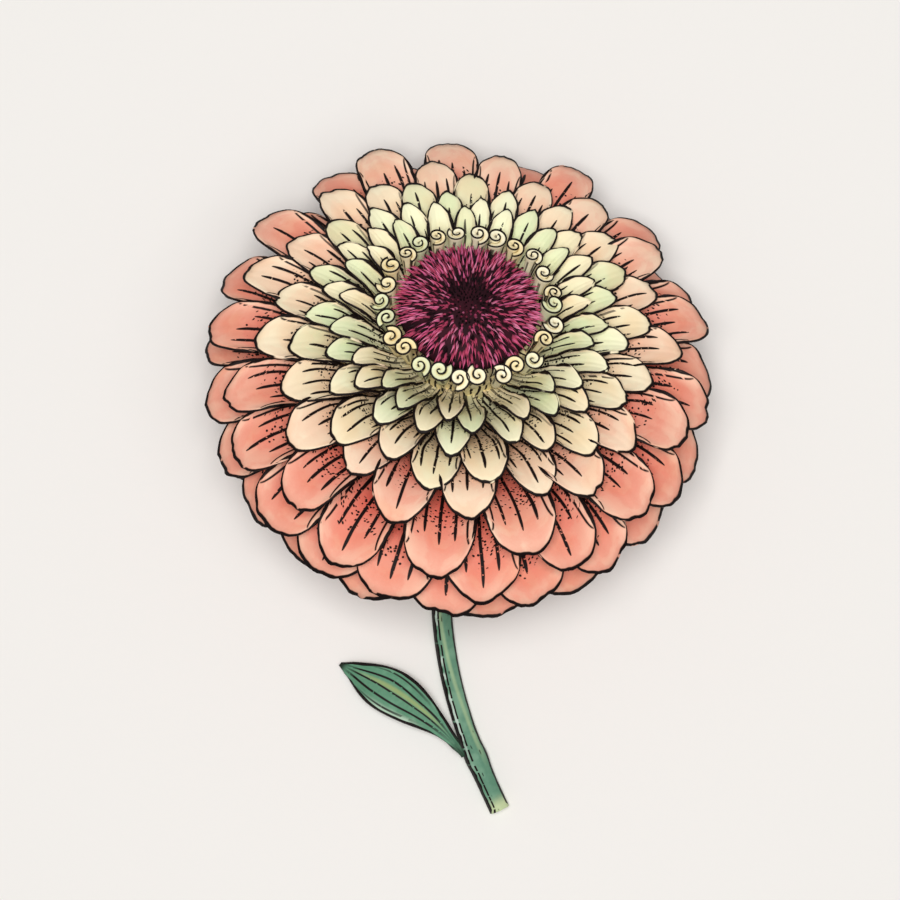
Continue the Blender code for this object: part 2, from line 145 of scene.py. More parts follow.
# The camera looks straight down, from a little aside of the bloom's middle. One pixel of its picture is
# one PIXEL long there. A light has its share of the key light's power, its size and its place.
CAMERA_HEIGHT, CAMERA_ASIDE = 0.56, (-0.0013, -0.0116)
PICTURE_WIDTH, PIXEL, SENSOR_WIDTH = 900, 0.000161, 36
LIGHTS = (("key", 1.0, 0.25, (-0.03, 0.03, 0.85)), ("fill", 0.36, 0.5, (0.1, -0.1, 0.85)))
SKY_COLOUR = (1.0, 0.995, 0.985, 1)


# Small sums that the layout is made of.


def scatter(index, salt):
    """A number from -1 to 1 that looks random and is the same on each run."""
    return 2 * (math.sin(index * 12.9898 + salt * 78.233) * 43758.5453 % 1) - 1


def mix(a, b, share):
    return a + (b - a) * share


def route_point(route, share):
    """The point at a share of the way along a smooth curve through all of the route's points."""
    ends = [route[0] * 2 - route[1], *route, route[-1] * 2 - route[-2]]
    reach = min(max(share, 0), 1) * (len(route) - 1)
    first = min(int(reach), len(route) - 2)
    t = reach - first
    a, b, c, d = ends[first : first + 4]
    return 0.5 * (2 * b + (c - a) * t + (2 * a - 5 * b + 4 * c - d) * t * t + (3 * b - a - 3 * c + d) * t**3)


def core_radius(height):
    return mix(CORE_LOW_RADIUS, CORE_HIGH_RADIUS, (height - ROOT_LOW) / (ROOT_HIGH - ROOT_LOW))


def linear(*srgb):
    """A colour given as 0 to 255 screen values, in the linear values that materials take."""
    values = [value / 255 for value in srgb]
    return tuple(v / 12.92 if v <= 0.04045 else ((v + 0.055) / 1.055) ** 2.4 for v in values)


def mix_colour(a, b):
    """The colour half way between two."""
    return tuple(mix(x, y, 0.5) for x, y in zip(a, b))


# Petal colours beside the settings' own. The hollows go with places from the outside to the middle.
GREENER_LIME, BEIGE = linear(198, 220, 166), linear(244, 222, 180)
PALE_MARGIN, ORANGE_WASH = linear(250, 218, 190), linear(244, 190, 140)
# Painted shade for the feet of the petals, where they lie covered deep between other petals.
PAINTED_GAP_SHADE = linear(170, 124, 84)
INNER_HOLLOWS = (
    (0.64, linear(243, 186, 154)), (0.76, linear(243, 214, 174)), (0.9, linear(242, 242, 204)),
    (1.0, linear(252, 238, 198)),
)


# Settings that a user would change.


def number(name, description, default, **more):
    return bpy.props.FloatProperty(name=name, description=description, default=default, **more)


def length(name, description, default):
    return number(name, description, default, unit="LENGTH", min=0)


def rotation(name, description, degrees):
    return number(name, description, math.radians(degrees), subtype="ANGLE", unit="ROTATION")


def whole(name, description, default, least=0):
    return bpy.props.IntProperty(name=name, description=description, default=default, min=least)


def colour(name, description, *srgb):
    return bpy.props.FloatVectorProperty(
        name=name, description=description, default=linear(*srgb), subtype="COLOR", size=3, min=0, max=1
    )


class ZinniaBloomSettings(bpy.types.PropertyGroup):
    centre: bpy.props.FloatVectorProperty(
        name="Centre", description="Middle of the bloom", default=(-0.0002, 0.0168, 0.0264),
        subtype="TRANSLATION", unit="LENGTH", size=3, precision=5,
    )
    lean: rotation("Lean", "How far the bloom leans back", 31)
    sway: rotation("Sway", "How far the bloom turns towards +X before it leans back", 4.3)
    first_petal: rotation("First petal", "Where round the bloom the lowest petal grows", 90)
    petal_thickness: length("Petal thickness", "Thickness of one ray petal", 0.00034)
    cupping: length("Cupping", "How far a petal's sides stand up", 0.0008)
    fold: length("Folded edge", "How much more the last part of each side stands up", 0.0004)
    ruffle: length("Ruffle", "Depth of the waves along a petal's edge", 0.00022)
    ink: colour("Ink", "Colour of the fine dark lines and dots", 22, 12, 12)
    coral: colour("Coral", "The outermost petals", 233, 165, 141)
    blush: colour("Blush", "The deep colour in the hollow of the outer petals", 226, 104, 88)
    peach: colour("Peach", "The middle petals", 243, 212, 184)
    cream: colour("Cream", "Between the peach petals and the lime ones", 245, 232, 200)
    lime: colour("Lime", "The inner petals", 240, 246, 206)


class ZinniaCrownSettings(bpy.types.PropertyGroup):
    rolls: whole("Rolls", "Rolled young petals in the ring", 26, 3)
    roll_turns: number("Turns", "How often a roll winds round", 1.55)
    roll_wall: length("Roll wall", "Thickness of a rolled petal", 0.0002)
    cream: colour("Roll cream", "Colour of the rolled petals", 251, 243, 212)
    florets: whole("Florets", "Hair-like florets on the disc", 1150, 10)
    floret_length: length("Floret length", "Length of a floret at the disc's rim", 0.0023)
    seed: whole("Seed", "Changes how the florets differ", 4)
    burgundy: colour("Burgundy", "Colour of most florets", 170, 62, 94)
    magenta: colour("Magenta", "Colour of the brightest florets", 218, 98, 146)


class ZinniaGreenSettings(bpy.types.PropertyGroup):
    stem: colour("Stem", "Colour of the stem", 116, 156, 130)
    leaf: colour("Leaf", "Colour of the leaf", 112, 160, 130)
    bract: colour("Bracts", "Colour of the cup under the petals", 96, 134, 94)
    leaf_wall: length("Leaf thickness", "Thickness of the leaf", 0.00055)


class ZinniaStageSettings(bpy.types.PropertyGroup):
    floor: colour("Floor", "Colour of the pale floor", 236, 233, 229)
    floor_size: length("Floor size", "Length of the floor's side", 3.0)
    sky: number("Sky", "Strength of the light from all round", 0.25)
    key: number("Key light", "Power of the large soft light", 4.7, subtype="POWER")


def settings(name):
    return getattr(bpy.context.scene, "zinnia_" + name)


def bloom_place():
    bloom = settings("bloom")
    turn = Matrix.Rotation(-bloom.lean, 4, "X") @ Matrix.Rotation(bloom.sway, 4, "Y")
    return Matrix.Translation(bloom.centre) @ turn


# Node trees. A Wire is a value that runs through one, and arithmetic on it adds the nodes.


def feed(tree, socket, value):
    """Joins a wire to a socket, or sets the socket to a plain value or to a colour of three numbers."""
    if isinstance(value, Wire):
        tree.links.new(value.socket, socket)
    else:
        socket.default_value = (*value, 1) if socket.type == "RGBA" else value


def add_node(tree, kind, *values, out=0, vector=False, named=None, **choices):
    """Adds a node, sets its choices, feeds its inputs in order and by name, and gives one of its outputs."""
    node = tree.nodes.new(kind)
    for key, value in choices.items():
        setattr(node, key, value)
    for socket, value in zip(node.inputs, values):
        feed(tree, socket, value)
    for key, value in (named or {}).items():
        feed(tree, node.inputs[key], value)
    return Wire(tree, node.outputs[out], vector)


class Wire:
    def __init__(self, tree, socket, vector=False):
        self.tree = tree
        self.socket = socket
        self.vector = vector

    def do(self, operation, *others, clamp=False):
        """A Math or Vector Math node with this wire as its first input."""
        if self.vector:
            choices = {"operation": operation, "vector": True}
            return add_node(self.tree, "ShaderNodeVectorMath", self, *others, **choices)
        return add_node(self.tree, "ShaderNodeMath", self, *others, operation=operation, use_clamp=clamp)

    def __add__(self, other):
        return self.do("ADD", other)

    def __sub__(self, other):
        return self.do("SUBTRACT", other)

    def __mul__(self, other):
        if self.vector and not (isinstance(other, Wire) and other.vector):
            named = {"Vector": self, "Scale": other}
            return add_node(self.tree, "ShaderNodeVectorMath", named=named, vector=True, operation="SCALE")
        return self.do("MULTIPLY", other)

    def __truediv__(self, other):
        return self.do("DIVIDE", other)

    def __pow__(self, other):
        return self.do("POWER", other)

    def __rtruediv__(self, other):
        return add_node(self.tree, "ShaderNodeMath", other, self, operation="DIVIDE")

    def __rsub__(self, other):
        return add_node(self.tree, "ShaderNodeMath", other, self, operation="SUBTRACT")

    def __neg__(self):
        return 0.0 - self

    def __abs__(self):
        return self.do("ABSOLUTE")

    __radd__ = __add__
    __rmul__ = __mul__

    def at_least(self, other):
        return self.do("MAXIMUM", other)

    def at_most(self, other):
        return self.do("MINIMUM", other)

    def clamped(self):
        return self.do("ADD", 0.0, clamp=True)

    def size(self):
        """A vector's length."""
        return add_node(self.tree, "ShaderNodeVectorMath", self, out="Value", operation="LENGTH")

    def towards(self, other):
        """How far a vector points the way of another."""
        return add_node(self.tree, "ShaderNodeVectorMath", self, other, out="Value", operation="DOT_PRODUCT")

    def part(self, axis):
        """One of a vector's three numbers."""
        return add_node(self.tree, "ShaderNodeSeparateXYZ", self, out="XYZ".index(axis))

    def parts(self):
        return [self.part(axis) for axis in "XYZ"]

    def step(self, low, high):
        """0 up to low and 1 from high on, with a smooth change between. low may be the greater."""
        ends = (low, high, 0.0, 1.0)
        return add_node(self.tree, "ShaderNodeMapRange", self, *ends, interpolation_type="SMOOTHSTEP")

    def between(self, a, b):
        """The value this share of the way from a to b."""
        return add_node(self.tree, "ShaderNodeMath", self, b - a, a, operation="MULTIPLY_ADD")


def combined(tree, x, y, z=0.0):
    return add_node(tree, "ShaderNodeCombineXYZ", x, y, z, vector=True)


def noise(tree, place, scale=1.0, detail=1.0):
    """Soft random values round 0.5 over a vector."""
    return add_node(tree, "ShaderNodeTexNoise", named={"Vector": place, "Scale": scale, "Detail": detail})


def white_noise(tree, x, y=0.0, z=0.0):
    """One random value from 0 to 1 for each set of three numbers."""
    return add_node(tree, "ShaderNodeTexWhiteNoise", named={"Vector": combined(tree, x, y, z)})


def identified(sockets):
    return {socket.identifier: socket for socket in sockets}


def mixed(tree, amount, a, b, blend="MIX"):
    """One colour laid over another by an amount."""
    node = tree.nodes.new("ShaderNodeMix")
    node.data_type = "RGBA"
    node.blend_type = blend
    sockets = identified(node.inputs)
    for key, value in (("Factor_Float", amount), ("A_Color", a), ("B_Color", b)):
        feed(tree, sockets[key], value)
    return Wire(tree, identified(node.outputs)["Result_Color"])


def kind_of(default):
    """The kind of socket that a default value needs. A name is the kind of a socket with no default."""
    if isinstance(default, str):
        return default
    if isinstance(default, tuple):
        return "Vector" if len(default) == 3 else "Color"
    return "Int" if isinstance(default, int) else "Float"


def new_tree(name, kind, inputs, outputs):
    """An empty node group with named sockets: the tree, its input wires by name, and its output node."""
    tree = bpy.data.node_groups.new(name, kind)
    source = tree.nodes.new("NodeGroupInput")
    sink = tree.nodes.new("NodeGroupOutput")
    for in_out, sockets in (("INPUT", inputs), ("OUTPUT", outputs)):
        for label, default in sockets.items():
            sort = "NodeSocket" + kind_of(default)
            made = tree.interface.new_socket(label, in_out=in_out, socket_type=sort)
            if not isinstance(default, str):
                made.default_value = default
    given = {label: Wire(tree, source.outputs[label], kind_of(inputs[label]) == "Vector") for label in inputs}
    return tree, given, sink


def geometry_tree(name, inputs):
    """A node group that makes a mesh with one material."""
    own = {"Geometry": "Geometry", **inputs, "Material": "Material"}
    return new_tree(name, "GeometryNodeTree", own, {"Geometry": "Geometry"})


def position(tree):
    return add_node(tree, "GeometryNodeInputPosition", vector=True)


def stored(tree, geometry, name, value):
    """Keeps a vector on each point under a name."""
    named = {"Geometry": geometry, "Name": name, "Value": value}
    choices = {"data_type": "FLOAT_VECTOR", "domain": "POINT"}
    return add_node(tree, "GeometryNodeStoreNamedAttribute", named=named, **choices)


def kept(tree, name, vector=False):
    """What an earlier step or the seats keep on each point under a name."""
    sort = "FLOAT_VECTOR" if vector else "FLOAT"
    return add_node(tree, "GeometryNodeInputNamedAttribute", name, vector=vector, data_type=sort)


def placed_copies(tree, seats, shape):
    """One copy of a shape for each seat, as real faces that carry what the seat keeps."""
    copies = add_node(tree, "GeometryNodeInstanceOnPoints", named={"Points": seats, "Instance": shape})
    return add_node(tree, "GeometryNodeRealizeInstances", copies)


def moved(tree, geometry, place):
    return add_node(tree, "GeometryNodeSetPosition", named={"Geometry": geometry, "Position": place})


def end_tree(tree, geometry, material, sink):
    """Shades the faces smooth, gives them their material and ends the tree."""
    smooth = add_node(tree, "GeometryNodeSetShadeSmooth", geometry)
    done = add_node(tree, "GeometryNodeSetMaterial", named={"Geometry": smooth, "Material": material})
    feed(tree, sink.inputs[0], done)
    return tree


# What every tree that works in the bloom's frame is told of it.
BLOOM_INPUTS = {"Sway": 0.0, "Lean": 0.0, "Centre": (0, 0, 0)}


def turned_about(tree, place, axis, angle):
    named = {"Vector": place, "Angle": angle}
    return add_node(tree, "ShaderNodeVectorRotate", vector=True, rotation_type=axis + "_AXIS", named=named)


def leaned(tree, place, given):
    """A place in the bloom's frame, in millimetres, taken to the table's frame, in metres."""
    swayed = turned_about(tree, place, "Y", given["Sway"])
    return turned_about(tree, swayed, "X", -given["Lean"]) * MM + given["Centre"]


def blade_tree():
    """Lays a rounded blade along the midline that each seat keeps: petals and bracts."""
    tree, given, sink = geometry_tree("Lay blades", {
        "Columns": 29, "Rows": 21,
        "Foot Width": 0.2, "Widest": 0.74, "Taper": 0.0, "Cupping": 0.8, "Fold": 0.4,
        "Pleats": 0.1, "Ruffle": 0.2, "Ragged": 0.045, **BLOOM_INPUTS,
    })
    grid = add_node(tree, "GeometryNodeMeshGrid", 2.0, 1.0, given["Columns"], given["Rows"])
    spot = position(tree)
    even = combined(tree, (spot.part("X") * QUARTER_TURN).do("SINE"), spot.part("Y") + 0.5)
    blades = placed_copies(tree, given["Geometry"], stored(tree, grid, "blade", even))

    # The blade's own outline: rounded or pointed at the tip, and a little ragged.
    across, along, _ = kept(tree, "blade", True).parts()
    chance = kept(tree, "chance")
    side = abs(across)
    rounded = 1.0 - (1.0 - side**2.15).at_least(0.0).do("SQRT")
    arch = rounded + kept(tree, "pointed") * side * (1.0 - side)
    uneven = noise(tree, combined(tree, across * 1.6, chance * 60.0)) - 0.5
    nicks = noise(tree, combined(tree, across * 4.0, chance * 80.0)) - 0.5
    ragged = (uneven * 1.3 + nicks * 0.5) * given["Ragged"]
    reach = along * (1.0 - kept(tree, "rounding") * arch) * (1.0 - ragged)

    # The midline, a curve through four points, and its slope.
    a, b, c, d = (kept(tree, name, True) for name in LINE_NAMES)
    rest = 1.0 - reach
    line = a * (rest**3.0) + b * (rest * rest * reach * 3.0)
    line = line + c * (rest * reach * reach * 3.0) + d * (reach**3.0)
    slope = (b - a) * (rest * rest) + (c - b) * (rest * reach * 2.0) + (d - c) * (reach * reach)
    run, _, rise = slope.do("NORMALIZE").parts()

    # The width at each point, and how far the blade stands off its midline there.
    turn = (reach / given["Widest"]).at_most(1.0).at_least(0.0) * QUARTER_TURN
    spread = (turn.do("SINE") ** 1.5).between(given["Foot Width"], 1.0)
    past = (reach - given["Widest"]).at_least(0.0) / (1.0 - given["Widest"])
    half = kept(tree, "breadth") * spread * (1.0 - past * past * given["Taper"]) * 0.5
    lift = side * side * spread * reach * given["Cupping"]
    lift += side.step(0.74, 1.0) * spread * reach * given["Fold"]
    lift += (across * (math.pi * 5)).do("COSINE") * given["Pleats"] * (1.0 - reach * 0.8)
    wave = (along * 17.0 + across * 2.0 + chance * 50.0).do("SINE") * side**3.0 * along
    lift += wave * given["Ruffle"]
    tilt = kept(tree, "tilt")
    lift += (across + tilt) * tilt * reach * half * 0.5

    radius = line.part("X") - rise * lift
    height = line.part("Z") + run * lift
    angle = kept(tree, "heading") + half * across / radius
    spot = combined(tree, radius * angle.do("COSINE"), radius * angle.do("SINE"), height)
    table = leaned(tree, spot, given)
    pressed = (PRESSED_HEIGHT * MM - table.part("Z")).at_least(0.0)
    blades = stored(tree, blades, "blade", combined(tree, across, along, chance))
    blades = stored(tree, blades, "extent", combined(tree, half, (d - a).size(), kept(tree, "place")))
    blades = moved(tree, blades, table + combined(tree, 0.0, pressed, pressed))
    return end_tree(tree, blades, given["Material"], sink)


def roll_tree():
    """Winds a small sheet into a scroll at each seat: a wall, then a cap that winds inwards."""
    tree, given, sink = geometry_tree("Wind rolls", {
        "Steps": 34, "Rows": 15, "Turns": 1.5, "Inside": 0.12, "Outside": 1.58, "Foot Girth": 0.65,
        "Flare": 0.42, **BLOOM_INPUTS,
    })
    grid = add_node(tree, "GeometryNodeMeshGrid", 1.0, 1.0, given["Steps"], given["Rows"])
    sheet = stored(tree, grid, "blade", position(tree) + (0.5, 0.5, 0.0))
    rolls = placed_copies(tree, given["Geometry"], sheet)
    wound, row, _ = kept(tree, "blade", True).parts()
    chance = kept(tree, "chance")
    up = (row / ROLL_WALL_SHARE).at_most(1.0)
    inwards = ((row - ROLL_WALL_SHARE) / (1 - ROLL_WALL_SHARE)).at_least(0.0)
    girth = up.between(given["Foot Girth"], 1.0) * kept(tree, "size")
    flare = up**5.0 * given["Flare"]
    reach = wound.between(given["Inside"], given["Outside"]) * girth + flare
    before = (wound - 1.0 / given["Turns"]).between(given["Inside"], given["Outside"]) * girth + flare
    reach = inwards.between(reach, before.at_least(0.0))
    turn = kept(tree, "start") + kept(tree, "hand") * wound * given["Turns"] * math.tau
    top = kept(tree, "reach") * (1.0 - wound**3.0 * 0.1) + (wound * 9.0 + chance * 30.0).do("SINE") * 0.1
    height = up * (top + ROLL_FOOT_DEPTH) - ROLL_FOOT_DEPTH - inwards.step(0.0, 0.3) * 0.3 - inwards * 0.25
    place = kept(tree, "seat", True)
    place = place + kept(tree, "side", True) * (reach * turn.do("COSINE"))
    place = place + kept(tree, "front", True) * (reach * turn.do("SINE"))
    place = place + kept(tree, "up", True) * height
    rolls = stored(tree, rolls, "blade", combined(tree, wound, row, chance))
    return end_tree(tree, moved(tree, rolls, leaned(tree, place, given)), given["Material"], sink)


def dome_height(tree, rank):
    """The disc's height over each share of its radius, along its profile."""
    curve = tree.nodes.new("ShaderNodeFloatCurve")
    points = curve.mapping.curves[0].points
    top = [(radius, height) for radius, height in reversed(DISC_PROFILE) if height >= DISC_SHOULDER]
    places = [(radius / top[-1][0], height / DOME_SCALE) for radius, height in top]
    points[0].location, points[-1].location = places[0], places[-1]
    for place in places[1:-1]:
        points.new(*place)
    curve.mapping.update()
    feed(tree, curve.inputs["Value"], rank)
    return Wire(tree, curve.outputs[0]) * DOME_SCALE


def floret_tree():
    """Combs hair-like florets outwards over the domed disc, on a golden-angle spiral."""
    tree, given, sink = geometry_tree("Comb florets", {
        "Count": 1000, "Seed": 1, "Rim": 10.4, "Base": 0.0, "Length": 3.4, "Width": 0.36, **BLOOM_INPUTS,
    })
    hair = {"Vertices": 4, "Side Segments": 4, "Radius Top": 0.12, "Radius Bottom": 1.0, "Depth": 1.0}
    cone = add_node(tree, "GeometryNodeMeshCone", out="Mesh", named=hair, fill_type="NONE")
    seats = add_node(tree, "GeometryNodePoints", given["Count"])
    index = add_node(tree, "GeometryNodeInputIndex")
    rank = ((index + 0.5) / given["Count"]).do("SQRT")

    def chance_of(low, high, salt):
        node = tree.nodes.new("FunctionNodeRandomValue")
        node.data_type = "FLOAT"
        sockets = identified(node.inputs)
        seed = given["Seed"] + salt
        for key, value in (("Min_001", low), ("Max_001", high), ("ID", index), ("Seed", seed)):
            feed(tree, sockets[key], value)
        return Wire(tree, identified(node.outputs)["Value_001"])

    own = combined(tree, rank, chance_of(0.0, 1.0, 0), chance_of(0.0, 1.0, 1))
    seats = stored(tree, seats, "floret", own)
    turn = index * GOLDEN_ANGLE + chance_of(-0.12, 0.12, 2)
    seats = stored(tree, seats, "heading", combined(tree, turn, chance_of(-1.0, 1.0, 3)))
    florets = placed_copies(tree, seats, stored(tree, cone, "blade", position(tree)))

    x, y, up = kept(tree, "blade", True).parts()
    rank, chance, other = kept(tree, "floret", True).parts()
    turn, sway, _ = kept(tree, "heading", True).parts()
    tall = rank.between(0.45, 1.0) * given["Length"] * chance.between(0.75, 1.1)
    lean = (rank * 1.75 + (other - 0.5) * 0.4) * (up * 0.5 + 0.6)
    thin = (1.0 - up * 0.88) * given["Width"] * rank.between(0.8, 1.15)
    out = rank * given["Rim"] + lean.do("SINE") * up * tall + x * thin * lean.do("COSINE")
    height = given["Base"] + dome_height(tree, rank) - 0.35
    height = height + lean.do("COSINE") * up * tall - x * thin * lean.do("SINE")
    aside = y * thin + sway * up * up * tall * 0.16
    cos, sin = turn.do("COSINE"), turn.do("SINE")
    place = combined(tree, out * cos - aside * sin, out * sin + aside * cos, height)
    florets = moved(tree, florets, leaned(tree, place, given))
    florets = stored(tree, florets, "blade", combined(tree, rank, up, chance))
    return end_tree(tree, florets, given["Material"], sink)


def stem_tree():
    """Sweeps a lightly ribbed stalk along a line of points that keep their girth."""
    tree, given, sink = geometry_tree(
        "Sweep stalk", {"Sides": 40, "Spacing": 0.0008, "Ribs": 7.0, "Rib Depth": 0.00005}
    )
    line = add_node(tree, "GeometryNodeMeshToCurve", given["Geometry"])
    factor = add_node(tree, "GeometryNodeSplineParameter", out="Factor")
    smooth = add_node(tree, "GeometryNodeCurveSplineType", line, spline_type="CATMULL_ROM")
    evenly = {"Curve": smooth, "Length": given["Spacing"]}
    fine = add_node(tree, "GeometryNodeResampleCurve", named=evenly, mode="LENGTH")
    fine = stored(tree, fine, "down", combined(tree, factor, 0.0))
    tangent = add_node(tree, "GeometryNodeInputTangent", vector=True)
    fine = stored(tree, fine, "sideways", tangent.do("CROSS_PRODUCT", (0.0, 0.0, 1.0)).do("NORMALIZE"))
    around = {"Resolution": given["Sides"], "Radius": 1.0}
    circle = add_node(tree, "GeometryNodeCurvePrimitiveCircle", named=around)
    ring = stored(tree, circle, "ring", position(tree))
    named = {"Curve": fine, "Profile Curve": ring, "Fill Caps": True, "Scale": kept(tree, "girth")}
    skin = add_node(tree, "GeometryNodeCurveToMesh", named=named)
    x, y, _ = kept(tree, "ring", True).parts()
    rib = ((y.do("ARCTAN2", x) * given["Ribs"]).do("SINE") - 1.0) * given["Rib Depth"]
    outward = add_node(tree, "GeometryNodeInputNormal", vector=True)
    flank = outward.towards(kept(tree, "sideways", True))
    down = combined(tree, kept(tree, "down", True).part("X"), flank, outward.part("Z"))
    skin = stored(tree, skin, "down", down)
    skin = add_node(tree, "GeometryNodeSetPosition", named={"Geometry": skin, "Offset": outward * rib})
    return end_tree(tree, skin, given["Material"], sink)


# Effects that the materials share, each built once as a group of shader nodes.


def drawn(distance, width):
    """Ink where a distance is less than a width, both in millimetres, with a soft edge."""
    return ((width - distance) / INK_EDGE + 0.5).clamped()


def line_work(tree, given, sink):
    """The fine dark lines of a blade: its outline, the crease along its sides, its veins and its dots."""
    across, along, chance = given["Blade"].parts()
    half, long, _ = given["Extent"].parts()
    line = given["Line Width"]
    side = abs(across)
    shown = (along - given["Covered"]) / (1.0 - given["Covered"])
    place = combined(tree, across * half, along * long, chance * 90.0)
    soft = noise(tree, place, 0.55)
    fine = noise(tree, place, 1.7, 2.0)
    roomy = ((half - 0.5) * 0.7).clamped()

    edge = ((1.0 - side) * half).at_most((1.0 - along) * long * 0.72)
    unbroken = soft.step(0.29, 0.33).at_least(1.0 - given["Breaks"])
    outline = drawn(edge, line * soft.between(0.5, 1.4) * roomy) * unbroken

    level = 0.76 + (shown.at_least(0.0) ** 4.0) * 0.2
    thin = 1.0 - (shown.at_least(0.0) ** 3.0)
    crease = drawn(abs(side - level) * half, line * 0.5 * thin) * soft.step(0.36, 0.4)
    crease = crease * shown.step(-0.3, -0.1) * shown.step(0.97, 0.9) * ((half - 2.2) * 0.6).clamped()

    bent = noise(tree, combined(tree, along * 2.6, chance * 70.0, across)) - 0.5
    spaced = across * given["Veins"] * 0.5 + bent * 0.5
    vein = spaced.do("ROUND")
    lot = white_noise(tree, vein, (chance * 400.0).do("ROUND"))
    end = given["Vein End"] - abs(vein) * 0.09 + (lot - 0.5) * 0.34
    taper = ((end - shown) * 8.0).clamped() ** 0.4
    apart = abs(spaced - vein) / given["Veins"] * 2.0 * half
    veins = drawn(apart, line * given["Vein Width"] * taper) * taper.step(0.0, 0.1) * fine.step(0.31, 0.36)
    veins = veins * side.step(0.74, 0.66) * roomy

    dots = tree.nodes.new("ShaderNodeTexVoronoi")
    feed(tree, dots.inputs["Vector"], place)
    feed(tree, dots.inputs["Scale"], given["Dots"])
    dot = Wire(tree, dots.outputs["Distance"])
    draw = Wire(tree, dots.outputs["Color"], True).part("X")
    crowd = shown.step(given["Dot End"], 0.0) * side.step(0.98, 0.7)
    speck = ((0.36 - dot) * 12.0).clamped() * (crowd * 1.9 - draw).step(0.0, 0.03) * roomy

    feed(tree, sink.inputs["Ink"], outline.at_least(veins).at_least(crease).at_least(speck))
    feed(tree, sink.inputs["Flank"], (side - level).step(0.0, 0.06))
    feed(tree, sink.inputs["Shown"], shown)


def wash(tree, given, sink):
    """Pigment that settles unevenly, in soft pools with darker rims."""
    pool = noise(tree, given["Place"], given["Scale"], 3.0)
    grain = noise(tree, given["Place"], given["Scale"] * 9.0, 2.0)
    rim = (1.0 - abs(pool - 0.52) * 16.0).clamped()
    thin = pool.step(0.35, 0.68)
    mask = (thin * 0.75 + rim * 0.22 + (grain - 0.5) * 0.5).clamped()
    feed(tree, sink.inputs["Colour"], mixed(tree, mask * given["Strength"], given["Thin"], given["Deep"]))
    feed(tree, sink.inputs["Mask"], mask)


EFFECTS = {
    "Line work": (
        line_work,
        {
            "Blade": (0, 0, 0), "Extent": (1, 1, 0), "Covered": 0.5, "Line Width": 0.38, "Veins": 5.0,
            "Vein End": 0.68, "Vein Width": 0.68, "Breaks": 1.0, "Dots": 1.5, "Dot End": 0.66,
        },
        {"Ink": "Float", "Flank": "Float", "Shown": "Float"},
    ),
    "Watercolour": (
        wash,
        {"Place": (0, 0, 0), "Scale": 90.0, "Strength": 0.5, "Thin": (1, 1, 1, 1), "Deep": (0, 0, 0, 1)},
        {"Colour": "Color", "Mask": "Float"},
    ),
}


def effect(tree, name, values):
    """A shared effect placed in a material with its own values. Gives its outputs by name."""
    group = bpy.data.node_groups.get(name)
    if group is None:
        build, inputs, outputs = EFFECTS[name]
        group, given, sink = new_tree(name, "ShaderNodeTree", inputs, outputs)
        build(group, given, sink)
    node = tree.nodes.new("ShaderNodeGroup")
    node.node_tree = group
    for key, value in values.items():
        feed(tree, node.inputs[key], value)
    return {socket.name: Wire(tree, socket) for socket in node.outputs}


def watercolour(tree, place, scale, strength, thin, deep):
    values = {"Place": place, "Scale": scale, "Strength": strength, "Thin": thin, "Deep": deep}
    return effect(tree, "Watercolour", values)


def new_material(name, roughness):
    made = bpy.data.materials.new(name)
    made.use_nodes = True
    shader = made.node_tree.nodes["Principled BSDF"]
    shader.inputs["Roughness"].default_value = roughness
    shader.inputs["Specular IOR Level"].default_value = 0.15
    return made, made.node_tree


def on_surface(tree, name):
    """What the mesh keeps under a name, as a vector that varies over the surface."""
    return add_node(tree, "ShaderNodeAttribute", out="Vector", vector=True, attribute_name=name)


def on_object(tree):
    return add_node(tree, "ShaderNodeTexCoord", out="Object", vector=True)


def ramp(tree, value, *stops):
    """A colour for each value from 0 to 1, blended between stops given as (value, colour)."""
    node = tree.nodes.new("ShaderNodeValToRGB")
    elements = node.color_ramp.elements
    while len(elements) < len(stops):
        elements.new(0.5)
    for element, (at, tone) in zip(elements, stops):
        element.position = at
        element.color = (*tone, 1)
    feed(tree, node.inputs["Fac"], value)
    return Wire(tree, node.outputs["Color"])


def dressed(made, tone, height=None):
    """Gives a material its finished colour, and fine relief where it has any."""
    tree = made.node_tree
    shader = tree.nodes["Principled BSDF"]
    feed(tree, shader.inputs["Base Color"], tone)
    if height is not None:
        named = {"Height": height, "Distance": RELIEF_DEPTH, "Strength": 0.7}
        feed(tree, shader.inputs["Normal"], add_node(tree, "ShaderNodeBump", named=named))
    return made


